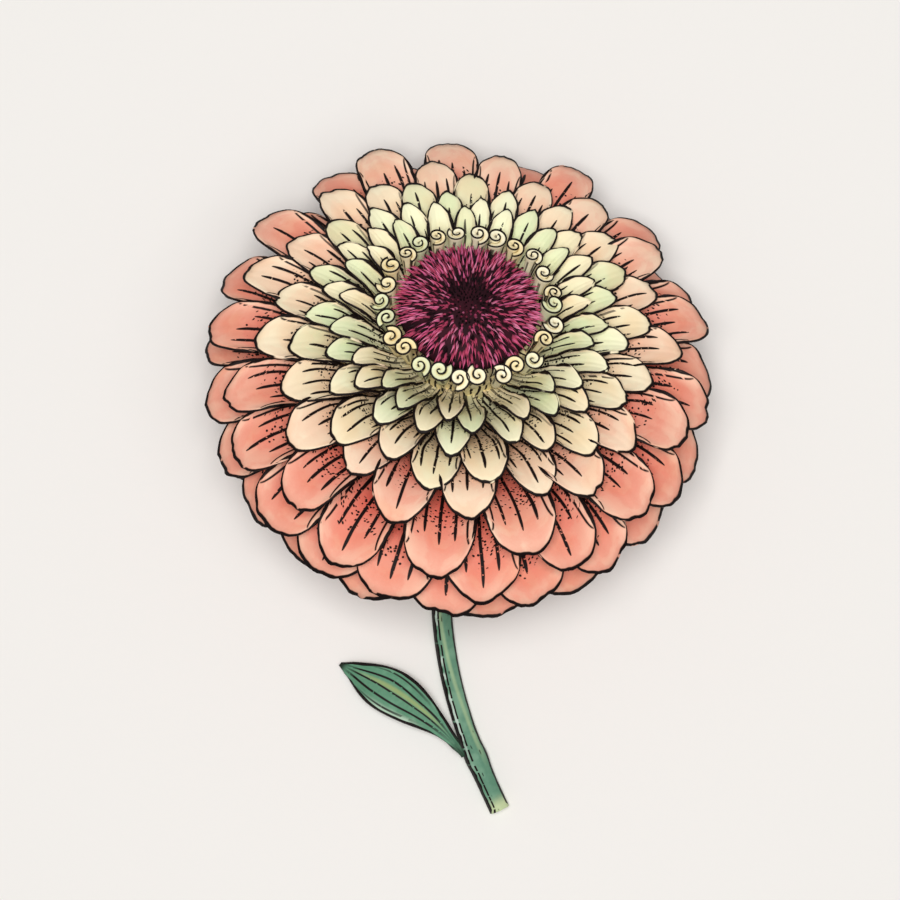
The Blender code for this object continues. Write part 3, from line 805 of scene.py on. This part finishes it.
def petal_material(name):
    """Thin petal skin: coral outside to lime inside, deeper in its hollow, with painted shade at its covered
    foot and inked veins and dots.
    """
    bloom = settings("bloom")
    made, tree = new_material(name, 0.6)
    blade, extent, spot = on_surface(tree, "blade"), on_surface(tree, "extent"), on_object(tree)
    across, along, chance = blade.parts()
    half, long, place = extent.parts()
    side = abs(across)
    covered = place.between(0.66, 0.5) - place.step(0.8, 1.0) * 0.28
    lines = effect(tree, "Line work", {
        "Blade": blade, "Extent": extent, "Covered": covered, "Veins": place.between(5.6, 2.8),
        "Line Width": place.between(0.48, 0.26), "Dot End": place.between(0.78, 0.42),
    })
    shown = lines["Shown"].clamped()
    patch = noise(tree, spot, 70.0, 2.0) - 0.5
    where = place + patch * 0.2 + (chance - 0.5) * 0.12
    skin = ramp(
        tree, where, (0.0, bloom.coral), (0.44, bloom.coral), (0.57, bloom.peach), (0.69, bloom.cream),
        (0.87, bloom.lime), (1.0, mix_colour(bloom.cream, bloom.lime)),
    )
    draw = (chance * 7.3).do("FRACT")
    skin = mixed(tree, place.step(0.62, 0.8) * draw.step(0.5, 0.6) * 0.6, skin, GREENER_LIME)
    skin = mixed(tree, place.step(0.6, 0.75) * draw.step(0.3, 0.2) * 0.5, skin, BEIGE)
    hollow = ramp(tree, where, (0.0, bloom.blush), (0.5, bloom.blush), *INNER_HOLLOWS)
    margin = side.step(0.4, 1.0) * 0.3 + shown.step(0.6, 1.0) * 0.2 + lines["Flank"] * 0.4
    pale = mixed(tree, margin, skin, PALE_MARGIN)
    flat = combined(tree, across * half, along * long, chance * 40.0)
    warm = noise(tree, flat, 0.16).step(0.5, 0.7)
    pale = mixed(tree, warm * 0.22, pale, ORANGE_WASH, "MULTIPLY")
    depth = (1.0 - shown * 1.15).clamped() * (1.0 - side * side * 0.75) * (patch * 1.6 + 0.85)
    tinted = mixed(tree, depth.clamped() * 0.95, pale, hollow)
    pooled = watercolour(tree, flat, 0.3, 0.4, tinted, hollow)
    # Painted shade: the covered feet of the petals darken towards brown, where shade falls between them.
    painted_gap_shade = (along / covered).step(1.0, 0.5)
    shaded = mixed(tree, painted_gap_shade * place.between(0.22, 0.05), pooled["Colour"], PAINTED_GAP_SHADE)
    inked = mixed(tree, lines["Ink"], shaded, bloom.ink)
    return dressed(made, inked, (across * (math.pi * 7)).do("COSINE") * 0.06 - lines["Ink"])


def bract_material(name):
    """Leathery green bract with a dark rim."""
    green, bloom = settings("green"), settings("bloom")
    made, tree = new_material(name, 0.62)
    blade = on_surface(tree, "blade")
    across, along, _ = blade.parts()
    lines = effect(tree, "Line work", {
        "Blade": blade, "Extent": on_surface(tree, "extent"), "Covered": 0.3, "Line Width": 0.3, "Veins": 4.0,
        "Vein End": 0.75, "Dot End": 0.2,
    })
    tone = watercolour(tree, on_object(tree), 220.0, 0.7, green.bract, linear(58, 92, 60))
    rim = mixed(tree, along.step(0.6, 1.0) * 0.6, tone["Colour"], linear(120, 96, 70))
    inked = mixed(tree, lines["Ink"] * 0.9, rim, bloom.ink)
    return dressed(made, inked, (across * 14.0).do("COSINE") * 0.3 - lines["Ink"])


def roll_material(name):
    """Cream young petal with an inked lip, and painted shade that darkens it towards the scroll's foot and
    its middle.
    """
    crown, bloom = settings("crown"), settings("bloom")
    made, tree = new_material(name, 0.55)
    wound, row, chance = on_surface(tree, "blade").parts()
    tone = watercolour(tree, on_object(tree), 260.0, 0.5, crown.cream, linear(246, 230, 182))
    yellow = mixed(tree, chance.step(0.4, 0.3) * 0.45, tone["Colour"], linear(244, 214, 136))
    green = mixed(tree, chance.step(0.75, 0.85) * 0.5, yellow, linear(206, 222, 170))
    # Painted shade: the wall darkens towards the scroll's foot, and the cap towards the scroll's middle.
    deep = mixed(tree, row.step(0.3, 0.05) * 0.3, green, linear(236, 214, 160))
    hollow = mixed(tree, row.step(0.8, 1.0) * 0.35, deep, linear(214, 180, 110))
    lip = row.step(0.555, 0.575) * row.step(0.71, 0.695)
    streak = (wound * 40.0 + row * 3.0).do("SINE").step(0.6, 0.8) * row.step(0.14, 0.2) * row.step(0.5, 0.45)
    ends = abs(wound - 0.5).step(0.485, 0.495)
    inked = mixed(tree, lip.at_least(streak * 0.8).at_least(ends), hollow, bloom.ink)
    return dressed(made, inked, (wound * 60.0).do("SINE") * 0.2)


def floret_material(name):
    """Hair-like florets, near black in the middle and burgundy to magenta outside."""
    crown = settings("crown")
    made, tree = new_material(name, 0.6)
    rank, up, chance = on_surface(tree, "blade").parts()
    lot = white_noise(tree, (chance * 900.0).do("ROUND"))
    hair = ramp(
        tree, chance, (0.0, linear(16, 4, 8)), (0.26, linear(24, 6, 12)), (0.31, crown.burgundy),
        (0.66, linear(196, 76, 108)), (0.8, crown.magenta), (1.0, linear(232, 140, 172)),
    )
    root = mixed(tree, up.step(0.55, 0.0) * 0.75, hair, linear(30, 6, 12))
    middle = mixed(tree, (rank + (lot - 0.5) * 0.3).step(0.46, 0.2), root, linear(8, 2, 4))
    return dressed(made, middle)


def upright_lines(tree, spot, count):
    """Broken dark lines round the bloom that run along its axis."""
    bloom = settings("bloom")
    swayed = turned_about(tree, spot - tuple(bloom.centre), "X", bloom.lean)
    upright = turned_about(tree, swayed, "Y", -bloom.sway)
    x, y, _ = upright.parts()
    spaced = y.do("ARCTAN2", x) * (count / math.tau) + (noise(tree, upright, 420.0, 2.0) - 0.5) * 0.9
    apart = abs(spaced - spaced.do("ROUND"))
    return apart.step(0.2, 0.13) * noise(tree, upright, 800.0).step(0.38, 0.46)


def pooled_material(name, tone, dark, scale, lines=0):
    """A skin of one colour pooled with a darker one, with dark lines along the bloom's axis if it has any."""
    made, tree = new_material(name, 0.7)
    spot = on_object(tree)
    pooled = watercolour(tree, spot, scale, 0.8, tone, dark)
    skin = pooled["Colour"]
    if lines:
        skin = mixed(tree, upright_lines(tree, spot, lines), skin, settings("bloom").ink)
    return dressed(made, skin, pooled["Mask"])


def leaf_material(name):
    """Leaf with long veins that run together at both ends, a yellow streak, a painted highlight along one
    edge and a dark tip.
    """
    green, bloom = settings("green"), settings("bloom")
    made, tree = new_material(name, 0.55)
    blade = on_surface(tree, "blade")
    across, along, _ = blade.parts()
    lines = effect(tree, "Line work", {
        "Blade": blade, "Extent": on_surface(tree, "extent"), "Covered": 0.0, "Line Width": 0.33,
        "Vein Width": 0.5, "Veins": 4.6, "Breaks": 0.0, "Vein End": 1.25, "Dot End": 0.0,
    })
    tone = watercolour(tree, on_object(tree), 170.0, 0.75, green.leaf, linear(62, 116, 88))
    streak = abs(across + 0.28 - along * 0.2).step(0.2, 0.02) * along.step(0.15, 0.4)
    yellow = mixed(tree, streak * along.step(0.95, 0.7) * 0.6, tone["Colour"], linear(170, 180, 110))
    # Painted highlight: a paler band along one edge of the leaf, on its middle part.
    bright = across.step(0.6, 0.9) * along.step(0.3, 0.45) * along.step(0.8, 0.6)
    edge = mixed(tree, bright * 0.6, yellow, linear(206, 226, 204))
    ends = along.step(0.94, 0.985).at_least(along.step(0.16, 0.02) * 0.75)
    tip = mixed(tree, ends * 0.9, edge, bloom.ink)
    inked = mixed(tree, lines["Ink"] * along.step(0.0, 0.18).between(0.55, 1.0), tip, bloom.ink)
    return dressed(made, inked, -lines["Ink"])


def stem_material(name):
    """Ribbed stalk with broken dark lines down it, painted highlights along one side, and a pithy cut end."""
    green, bloom = settings("green"), settings("bloom")
    made, tree = new_material(name, 0.6)
    down, flank, upward = on_surface(tree, "down").parts()
    ring = on_surface(tree, "ring")
    x, y, _ = ring.parts()
    tone = watercolour(tree, on_object(tree), 150.0, 0.8, green.stem, linear(70, 118, 96))

    # Broken lines all round, each in a lane of its own.
    bent = noise(tree, combined(tree, down * 14.0, x, y), 1.0, 2.0) - 0.5
    spaced = (y.do("ARCTAN2", x) + bent * 0.5) * (STEM_LINES / math.tau)
    lane = spaced.do("ROUND")
    apart = abs(spaced - lane) * (math.tau / STEM_LINES * STEM_RADIUS)
    broken = noise(tree, combined(tree, down * 30.0, white_noise(tree, lane) * 20.0))
    line = ((0.15 - apart) * 9.0).clamped() * broken.step(0.6, 0.66)

    # Ink along both flanks and one line inside the right one, on the upper half.
    wobble = noise(tree, combined(tree, down * 40.0, x), 1.0, 2.0) - 0.5
    ragged = noise(tree, combined(tree, down * 55.0, 7.0))
    left = (flank + wobble * 0.34).step(0.62, 0.67) * ragged.step(0.3, 0.36)
    right = (wobble * 0.12 - flank).step(0.8, 0.84) * ragged.step(0.24, 0.3)
    inner = abs(flank - 0.4 + wobble * 0.08).step(0.1, 0.07) * ragged.step(0.4, 0.44)
    rims = left.at_least(right).at_least(inner) * upward.step(-0.12, -0.02)

    skin = ring.size().step(0.72, 0.95)
    # Painted highlights: a pale band just inside the left flank's line, and a paler streak that runs along
    # the stem.
    painted_edge_highlight = abs(flank - 0.57).step(0.16, 0.1) * down.step(0.9, 0.8)
    lit = abs(flank - down.step(0.4, 0.85).between(0.3, -0.6)).step(0.3, 0.04)
    streak = lit * down.step(0.12, 0.3) * down.step(0.9, 0.8)
    pale = mixed(tree, skin, linear(196, 204, 160), tone["Colour"])
    pale = mixed(tree, painted_edge_highlight * broken.step(0.4, 0.55) * 0.75, pale, linear(206, 222, 210))
    pale = mixed(tree, streak * 0.5, pale, linear(176, 198, 150))
    pale = mixed(tree, down.step(0.955, 0.99) * 0.7, pale, linear(214, 222, 170))
    inked = mixed(tree, (line * 0.8).at_least(rims) * skin, pale, bloom.ink)
    return dressed(made, inked, -line)


# Seats: what the layout says of each petal, roll and bract. Lengths in millimetres.


def keep(mesh, name, values):
    """Keeps a number or a vector on each point of a mesh under a name."""
    if isinstance(values[0], (int, float)):
        mesh.attributes.new(name, "FLOAT", "POINT").data.foreach_set("value", values)
    else:
        field = mesh.attributes.new(name, "FLOAT_VECTOR", "POINT")
        field.data.foreach_set("vector", [part for value in values for part in value])


def seat_mesh(name, seats):
    """One loose point per seat, which keeps what the layout says of it."""
    mesh = bpy.data.meshes.new(name)
    mesh.from_pydata([(0, 0, 0)] * len(seats), [], [])
    for key in seats[0]:
        keep(mesh, key, [seat[key] for seat in seats])
    return mesh


def chance_at(index, salt):
    return 0.5 + 0.5 * scatter(index, salt)


def midline(*points):
    """The four points of a blade's midline by name, in the plane where it grows."""
    return {name: Vector((at.x, 0, at.y)) for name, at in zip(LINE_NAMES, points)}


def petal_seat(index, group):
    """The same rule that lays out the frame's petals."""
    last = sum(count for _, _, count in PETAL_GROUPS) - 1
    rank = (index + GROUP_STEP * group) / (last + GROUP_STEP * (len(PETAL_GROUPS) - 1))
    place = min(max(rank * (1 + RANK_LEAD * (1 - rank)) + PLACE_STRAY * scatter(index, 1), 0), 1)
    tip = route_point([Vector(point) for point in TIP_ROUTE], place)
    free = ROOT_HIGH - ROOT_LOW - GROUP_RISE * (len(PETAL_GROUPS) - 1)
    root_height = ROOT_LOW + free * index / last + GROUP_RISE * group
    root = Vector((core_radius(root_height) - ROOT_SUNK, root_height))
    rise = math.radians(mix(*ROOT_RISES, place))
    droop = math.radians(mix(*TIP_DROOPS, place**DROOP_LATENESS) + DROOP_STRAY * scatter(index, 2))
    reach = (tip - root).length
    root_handle = root + Vector((math.cos(rise), math.sin(rise))) * reach * ROOT_HANDLE
    tip_handle = tip - Vector((math.cos(droop), -math.sin(droop))) * reach * TIP_HANDLE
    stray = math.radians(HEADING_STRAY) * scatter(index, 4)
    heading = settings("bloom").first_petal + GOLDEN_ANGLE * index + stray
    width = mix(WIDTH_OUTER, WIDTH_INNER, place**NARROWING) * (1 + WIDTH_STRAY * scatter(index, 3))
    return {
        **midline(root, root_handle, tip_handle, tip),
        "heading": heading,
        "breadth": width * mix(1, FAR_SIDE_WIDTH, 0.5 + 0.5 * math.sin(heading)),
        "rounding": mix(*TIP_ROUNDINGS, place) + INNER_ROUNDING * place**3,
        "pointed": mix(*TIP_POINTS, place) + POINT_STRAY * scatter(index, 5),
        "tilt": TILT_STRAY * scatter(index, 6),
        "place": place,
        "chance": chance_at(index, 7),
    }


def bract_seats():
    seats = []
    for row in range(BRACT_ROWS):
        upper = row / (BRACT_ROWS - 1)
        root, tip = (Vector(ends[0]).lerp(Vector(ends[1]), upper) for ends in (BRACT_ROOTS, BRACT_TIPS))
        root_handle, tip_handle = (root.lerp(tip, share) + BRACT_BULGE for share in BRACT_HANDLES)
        for index in range(BRACTS_IN_ROW):
            even = math.tau * (index + 0.5 * (row % 2)) / BRACTS_IN_ROW
            seats.append({
                **midline(root, root_handle, tip_handle, tip),
                "heading": even + math.radians(BRACT_STRAY) * scatter(index, 31 + row),
                "breadth": 2 * mix(*BRACT_HALF_WIDTHS, upper),
                "rounding": BRACT_ROUNDING,
                "pointed": BRACT_POINT,
                "tilt": 0.0,
                "place": upper,
                "chance": chance_at(index + BRACTS_IN_ROW * row, 33),
            })
    return seats


def roll_seats():
    rolls = settings("crown").rolls
    seats = []
    for index in range(rolls):
        angle = math.tau * index / rolls + math.radians(HEADING_STRAY) * scatter(index, 11)
        lean = math.radians(ROLL_LEAN - ROLL_LEAN_NEAR * math.sin(angle))
        outer = ROLL_STAGGER * (1 if index % 2 else -1)
        radius = ROLL_MIDDLE + outer - math.tan(lean) * ROLL_LENGTH / 2
        at = Matrix.Translation((radius, 0, CROWN_BASE + PLATE_PROFILE[-1][1]))
        place = Matrix.Rotation(angle, 4, "Z") @ at @ Matrix.Rotation(lean, 4, "Y")
        side, front, up = place.to_3x3().col
        seats.append({
            "seat": place.translation.copy(),
            "side": side.copy(),
            "front": front.copy(),
            "up": up.copy(),
            "reach": ROLL_LENGTH - outer + ROLL_REACH_STRAY * scatter(index, 12),
            "hand": 1.0 if scatter(index, 13) > 0 else -1.0,
            "start": math.pi * scatter(index, 14),
            "size": 1.0 + ROLL_SIZE_STRAY * scatter(index, 15),
            "chance": chance_at(index, 16),
        })
    return seats


def stem_route():
    """Points down the middle of the stem, from the calyx to the cut end, on the table."""
    bloom = settings("bloom")
    centre = Vector(bloom.centre) / MM
    place = bloom_place()
    head = place @ Vector((0, 0, (CUP_PROFILE[0][1] - STEM_BELOW_CUP) * MM)) / MM
    down = place.to_3x3() @ Vector((0, 0, -1))
    route = [head]
    head = head + down * STEM_STRAIGHT
    steep = QUARTER_TURN - bloom.lean
    bend = (head.z - STEM_RADIUS) / (1 - math.cos(steep))
    for step in range(BEND_STEPS):
        slope = steep * (1 - step / BEND_STEPS)
        drop = bend * (math.cos(slope) - math.cos(steep))
        away = bend * (math.sin(steep) - math.sin(slope))
        route.append(head + Vector((STEM_SIDE * step / BEND_STEPS, -away, -drop)))
    for over, along in STEM_LYING:
        route.append(Vector((centre.x + over, centre.y + along, STEM_RADIUS)))
    return route


def stem_points():
    """The stem's line as (point, girth) pairs, with the swelling where the leaf grows."""
    route = stem_route()
    steps = STEM_FINENESS * (len(route) - 1)
    node = round(NODE_AT * steps)
    points = []
    for index in range(steps + 1):
        point = route_point(route, index / steps)
        neck = 1 + NECK_SWELL * math.exp(-((index / NECK_SPAN) ** 2))
        swell = 1 + (NODE_SWELL - 1) * math.exp(-(((index - node) / NODE_SPAN) ** 2))
        girth = STEM_RADIUS * neck * swell
        point.z = max(point.z, girth)
        points.append((point, girth))
    return points, node


# Making the pieces.


def new_piece(name, data):
    made = bpy.data.objects.new(name, data)
    bpy.context.scene.collection.objects.link(made)
    return made


def thickened(made, wall):
    """Gives a sheet its wall, half on each side."""
    thicken = made.modifiers.new("wall", "SOLIDIFY")
    thicken.thickness = wall
    thicken.offset = 0


def grown(name, seed_mesh, tree, values, wall=None):
    """Runs a node tree on a mesh, thickens the result if it is a sheet, and leaves a plain mesh."""
    made = new_piece(name, seed_mesh)
    grow = made.modifiers.new("grow", "NODES")
    grow.node_group = tree
    for item in tree.interface.items_tree:
        if item.in_out == "INPUT" and item.name in values:
            grow[item.identifier] = values[item.name]
    if wall:
        thickened(made, wall)
    bpy.context.view_layer.update()
    shape = made.evaluated_get(bpy.context.evaluated_depsgraph_get())
    mesh = bpy.data.meshes.new_from_object(shape)
    mesh.name = name
    made.modifiers.clear()
    made.data = mesh
    return made


def placed(made, slot, *nodes):
    """Ties a finished piece to the frame."""
    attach(made, "root")
    if nodes:
        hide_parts(*nodes)


def turned(name, profile, sides, slot, material):
    """A closed solid turned about the bloom's axis from (radius, height) points, listed bottom to top."""
    place = bloom_place()
    points, faces = [], []
    for row, (radius, height) in enumerate(profile):
        for side in range(sides):
            angle = math.tau * side / sides
            points.append(place @ (Vector((radius * math.cos(angle), radius * math.sin(angle), height)) * MM))
            if row:
                low, following = (row - 1) * sides, (side + 1) % sides
                faces.append((low + side, low + following, low + sides + following, low + sides + side))
    faces.append(tuple(reversed(range(sides))))
    faces.append(tuple(range(len(points) - sides, len(points))))
    mesh = bpy.data.meshes.new(name)
    mesh.from_pydata(points, [], faces)
    mesh.materials.append(material)
    mesh.shade_smooth()
    mesh.set_sharp_from_angle(angle=SHARP_FROM)
    placed(new_piece(name, mesh), slot)


def leaned_values():
    bloom = settings("bloom")
    return {"Sway": bloom.sway, "Lean": bloom.lean, "Centre": tuple(bloom.centre)}


def leaf_start():
    """The leaf's seat, just clear of the stem's swelling."""
    points, node = stem_points()
    foot = points[node - 1][0].copy()
    down = (points[node][0] - points[node - 2][0]).normalized()
    outward = Vector((down.y, -down.x, 0))
    foot.z = STEM_RADIUS * NODE_SWELL
    seat = outward * math.cos(LEAF_SEAT) + Vector((0, 0, math.sin(LEAF_SEAT)))
    return foot + seat * (STEM_RADIUS * NODE_SWELL + LEAF_THICKNESS / 2 + LEAF_CLEAR)


def leaf_spread(along):
    """The leaf's share of its full width at a share of its length."""
    spread = LEAF_NARROWEST + (1 - LEAF_NARROWEST) * math.sin(math.pi * along**LEAF_BELLY) ** LEAF_FULLNESS
    tip = math.sqrt(max(1 - max(along - LEAF_POINT_FROM, 0) / LEAF_POINT, 0))
    return spread * tip * min(0.1 + along / 0.1, 1)


def leaf_mesh(name):
    """A folded and waved sheet from the stem down to the table, which keeps its place on the blade."""
    start = leaf_start()
    sheet, blades, extents = [], [], []
    for row in range(LEAF_ROWS):
        along = row / (LEAF_ROWS - 1)
        spread = leaf_spread(along)
        heading = math.radians(mix(*LEAF_HEADINGS, math.sqrt(along)))
        run = mix(-LEAF_FOOT, LEAF_LENGTH, along)
        middle = start + Vector((math.cos(heading) * run, math.sin(heading) * run, 0))
        middle.z = mix(start.z, LEAF_TIP_HEIGHT, along) + LEAF_ARCH * math.sin(math.pi * along)
        side = Vector((-math.sin(heading), math.cos(heading), 0))
        half = LEAF_WIDTH / 2 * spread
        for column in range(LEAF_COLUMNS):
            across = math.sin(QUARTER_TURN * (2 * column / (LEAF_COLUMNS - 1) - 1))
            pleat = LEAF_PLEAT * math.cos(across * math.pi * LEAF_PLEATS)
            wave = LEAF_WAVE * math.sin(along * LEAF_WAVES + across) * across**2
            up = (LEAF_FOLD * abs(across) - pleat) * spread + wave
            sheet.append((middle + side * half * across + Vector((0, 0, up))) * MM)
            blades.append((across, along, LEAF_CHANCE))
            extents.append((half, LEAF_LENGTH, 0.0))
    within = range(LEAF_COLUMNS - 1)
    corners = [row * LEAF_COLUMNS + column for row in range(LEAF_ROWS - 1) for column in within]
    mesh = bpy.data.meshes.new(name)
    mesh.from_pydata(sheet, [], [(a, a + 1, a + LEAF_COLUMNS + 1, a + LEAF_COLUMNS) for a in corners])
    keep(mesh, "blade", blades)
    keep(mesh, "extent", extents)
    mesh.materials.append(leaf_material("leaf skin"))
    mesh.shade_smooth()
    return mesh


class ZINNIA_OT_stage(bpy.types.Operator):
    """Add the pale floor, the soft lights and the camera that looks down on the flower"""

    bl_idname = "zinnia.stage"
    bl_label = "Stage"

    def execute(self, context):
        stage = settings("stage")
        scene = context.scene
        scene.view_settings.view_transform = "Standard"
        centre = settings("bloom").centre
        camera = bpy.data.cameras.new("camera")
        camera.sensor_width = SENSOR_WIDTH
        camera.lens = SENSOR_WIDTH * (CAMERA_HEIGHT - centre.z) / (PIXEL * PICTURE_WIDTH)
        camera.clip_start = 0.01
        eye = new_piece("camera", camera)
        eye.location = (centre.x + CAMERA_ASIDE[0], centre.y + CAMERA_ASIDE[1], CAMERA_HEIGHT)
        scene.camera = eye

        half = stage.floor_size / 2
        corners = [(-half, -half, 0), (half, -half, 0), (half, half, 0), (-half, half, 0)]
        mesh = bpy.data.meshes.new("floor")
        mesh.from_pydata(corners, [], [(0, 1, 2, 3)])
        made, tree = new_material("pale floor", 0.9)
        grain = noise(tree, on_object(tree), 900.0, 2.0)
        darker = tuple(0.86 * value for value in stage.floor)
        mesh.materials.append(dressed(made, mixed(tree, grain * 0.05, stage.floor, darker)))
        new_piece("floor", mesh)

        world = bpy.data.worlds.new("soft light")
        world.use_nodes = True
        sky = world.node_tree.nodes["Background"]
        sky.inputs["Color"].default_value = SKY_COLOUR
        sky.inputs["Strength"].default_value = stage.sky
        scene.world = world
        for name, share, size, place in LIGHTS:
            light = bpy.data.lights.new(name, "AREA")
            light.energy = stage.key * share
            light.size = size
            lamp = new_piece(name, light)
            lamp.location = place
            lamp.rotation_euler = (Vector(centre) - Vector(place)).to_track_quat("-Z", "Y").to_euler()
        return {"FINISHED"}


class ZINNIA_OT_ray_petals(bpy.types.Operator):
    """Lay the coral, peach and lime ray petals on a golden-angle spiral"""

    bl_idname = "zinnia.ray_petals"
    bl_label = "Ray petals"

    def execute(self, context):
        bloom = settings("bloom")
        tree = blade_tree()
        first = 0
        for group, (node, name, count) in enumerate(PETAL_GROUPS):
            seats = [petal_seat(index, group) for index in range(first, first + count)]
            values = {
                **leaned_values(), **GROUP_SHAPES[group],
                "Cupping": bloom.cupping / MM, "Fold": bloom.fold / MM, "Ruffle": bloom.ruffle / MM,
                "Material": petal_material(name + " skin"),
            }
            placed(grown(name, seat_mesh(name, seats), tree, values, bloom.petal_thickness), node, node)
            first += count
        return {"FINISHED"}


class ZINNIA_OT_receptacle(bpy.types.Operator):
    """Add the hidden cone that the petals grow from"""

    bl_idname = "zinnia.receptacle"
    bl_label = "Receptacle"

    def execute(self, context):
        skin = pooled_material("receptacle skin", linear(246, 236, 186), linear(222, 196, 132), 160.0, 56)
        low, high = ROOT_LOW - CORE_FOOT, ROOT_HIGH + CORE_ABOVE
        heights = [mix(low, high, step / CORE_STEPS) for step in range(CORE_STEPS + 1)]
        profile = [(core_radius(height), height) for height in heights]
        turned("receptacle", profile, CORE_SIDES, "coral_petals", skin)
        return {"FINISHED"}


class ZINNIA_OT_scroll_ring(bpy.types.Operator):
    """Wind the ring of young petals, still rolled up, round the disc"""

    bl_idname = "zinnia.scroll_ring"
    bl_label = "Scroll ring"

    def execute(self, context):
        crown = settings("crown")
        skin = roll_material("rolled petal skin")
        values = {**leaned_values(), "Turns": crown.roll_turns, "Material": skin}
        seats = seat_mesh("scroll_ring", roll_seats())
        made = grown("scroll_ring", seats, roll_tree(), values, crown.roll_wall)
        placed(made, "cream_rolls", "cream_rolls")
        skin = pooled_material("plate skin", linear(242, 226, 172), linear(84, 62, 38), 700.0, 70)
        profile = [(radius * PLATE_INSET, CROWN_BASE + up) for radius, up in PLATE_PROFILE]
        turned("scroll_plate", profile, CROWN_SIDES, "cream_rolls", skin)
        return {"FINISHED"}


class ZINNIA_OT_disc(bpy.types.Operator):
    """Comb the burgundy florets out over their domed cushion"""

    bl_idname = "zinnia.disc"
    bl_label = "Disc"

    def execute(self, context):
        crown = settings("crown")
        base = CROWN_BASE + DISC_BASE
        values = {
            **leaned_values(), "Count": crown.florets, "Seed": crown.seed, "Base": base,
            "Length": crown.floret_length / MM, "Material": floret_material("floret skin"),
        }
        made = grown("disc_florets", bpy.data.meshes.new("disc_florets"), floret_tree(), values)
        placed(made, "burgundy_disc", "burgundy_disc")
        skin = pooled_material("cushion skin", linear(52, 14, 26), linear(14, 4, 8), 300.0)
        profile = [(max(radius, DISC_TOP_RADIUS), base + height) for radius, height in DISC_PROFILE]
        turned("disc_cushion", profile, CROWN_SIDES, "burgundy_disc", skin)
        return {"FINISHED"}


class ZINNIA_OT_calyx(bpy.types.Operator):
    """Tile the green cup under the petals with bracts"""

    bl_idname = "zinnia.calyx"
    bl_label = "Calyx"

    def execute(self, context):
        values = {**leaned_values(), **BRACT_SHAPE, "Material": bract_material("bract skin")}
        seats = seat_mesh("calyx_bracts", bract_seats())
        made = grown("calyx_bracts", seats, blade_tree(), values, BRACT_WALL)
        placed(made, "calyx", "calyx")
        skin = pooled_material("cup skin", settings("green").bract, linear(60, 88, 56), 200.0)
        turned("calyx_cup", CUP_PROFILE, CUP_SIDES, "calyx", skin)
        return {"FINISHED"}


class ZINNIA_OT_stem(bpy.types.Operator):
    """Sweep the cut stem from the calyx along the table"""

    bl_idname = "zinnia.stem"
    bl_label = "Stem"

    def execute(self, context):
        points, _ = stem_points()
        mesh = bpy.data.meshes.new("cut_stem")
        edges = [(index, index + 1) for index in range(len(points) - 1)]
        mesh.from_pydata([point * MM for point, _ in points], edges, [])
        keep(mesh, "girth", [girth * MM for _, girth in points])
        made = grown("cut_stem", mesh, stem_tree(), {"Material": stem_material("stem skin")})
        placed(made, "stem", "stem")
        return {"FINISHED"}


class ZINNIA_OT_leaf(bpy.types.Operator):
    """Spread the one leaf from the stem's swelling down to the table"""

    bl_idname = "zinnia.leaf"
    bl_label = "Leaf"

    def execute(self, context):
        made = new_piece("stem_leaf", leaf_mesh("stem_leaf"))
        thickened(made, settings("green").leaf_wall)
        placed(made, "leaf", "leaf")
        return {"FINISHED"}


class ZINNIA_PT_parts(bpy.types.Panel):
    """The zinnia's pieces in the order that they are made"""

    bl_label = "Cut zinnia"
    bl_space_type = "VIEW_3D"
    bl_region_type = "UI"
    bl_category = "Zinnia"

    def draw(self, context):
        for operator in OPERATORS:
            self.layout.operator(operator.bl_idname)
        for name in SETTINGS:
            box = self.layout.box()
            box.label(text=name.capitalize())
            for key in SETTINGS[name].__annotations__:
                box.prop(settings(name), key)


SETTINGS = {
    "bloom": ZinniaBloomSettings,
    "crown": ZinniaCrownSettings,
    "green": ZinniaGreenSettings,
    "stage": ZinniaStageSettings,
}
OPERATORS = (
    ZINNIA_OT_stage,
    ZINNIA_OT_ray_petals,
    ZINNIA_OT_receptacle,
    ZINNIA_OT_scroll_ring,
    ZINNIA_OT_disc,
    ZINNIA_OT_calyx,
    ZINNIA_OT_stem,
    ZINNIA_OT_leaf,
)
CLASSES = (*SETTINGS.values(), *OPERATORS, ZINNIA_PT_parts)


def register():
    for entry in CLASSES:
        bpy.utils.register_class(entry)
    for name, entry in SETTINGS.items():
        setattr(bpy.types.Scene, "zinnia_" + name, bpy.props.PointerProperty(type=entry))


def unregister():
    for name in SETTINGS:
        delattr(bpy.types.Scene, "zinnia_" + name)
    for entry in reversed(CLASSES):
        bpy.utils.unregister_class(entry)


def main():
    register()
    for step in ("stage", "ray_petals", "receptacle", "scroll_ring", "disc", "calyx", "stem", "leaf"):
        getattr(bpy.ops.zinnia, step)()


if __name__ == "__main__":
    main()
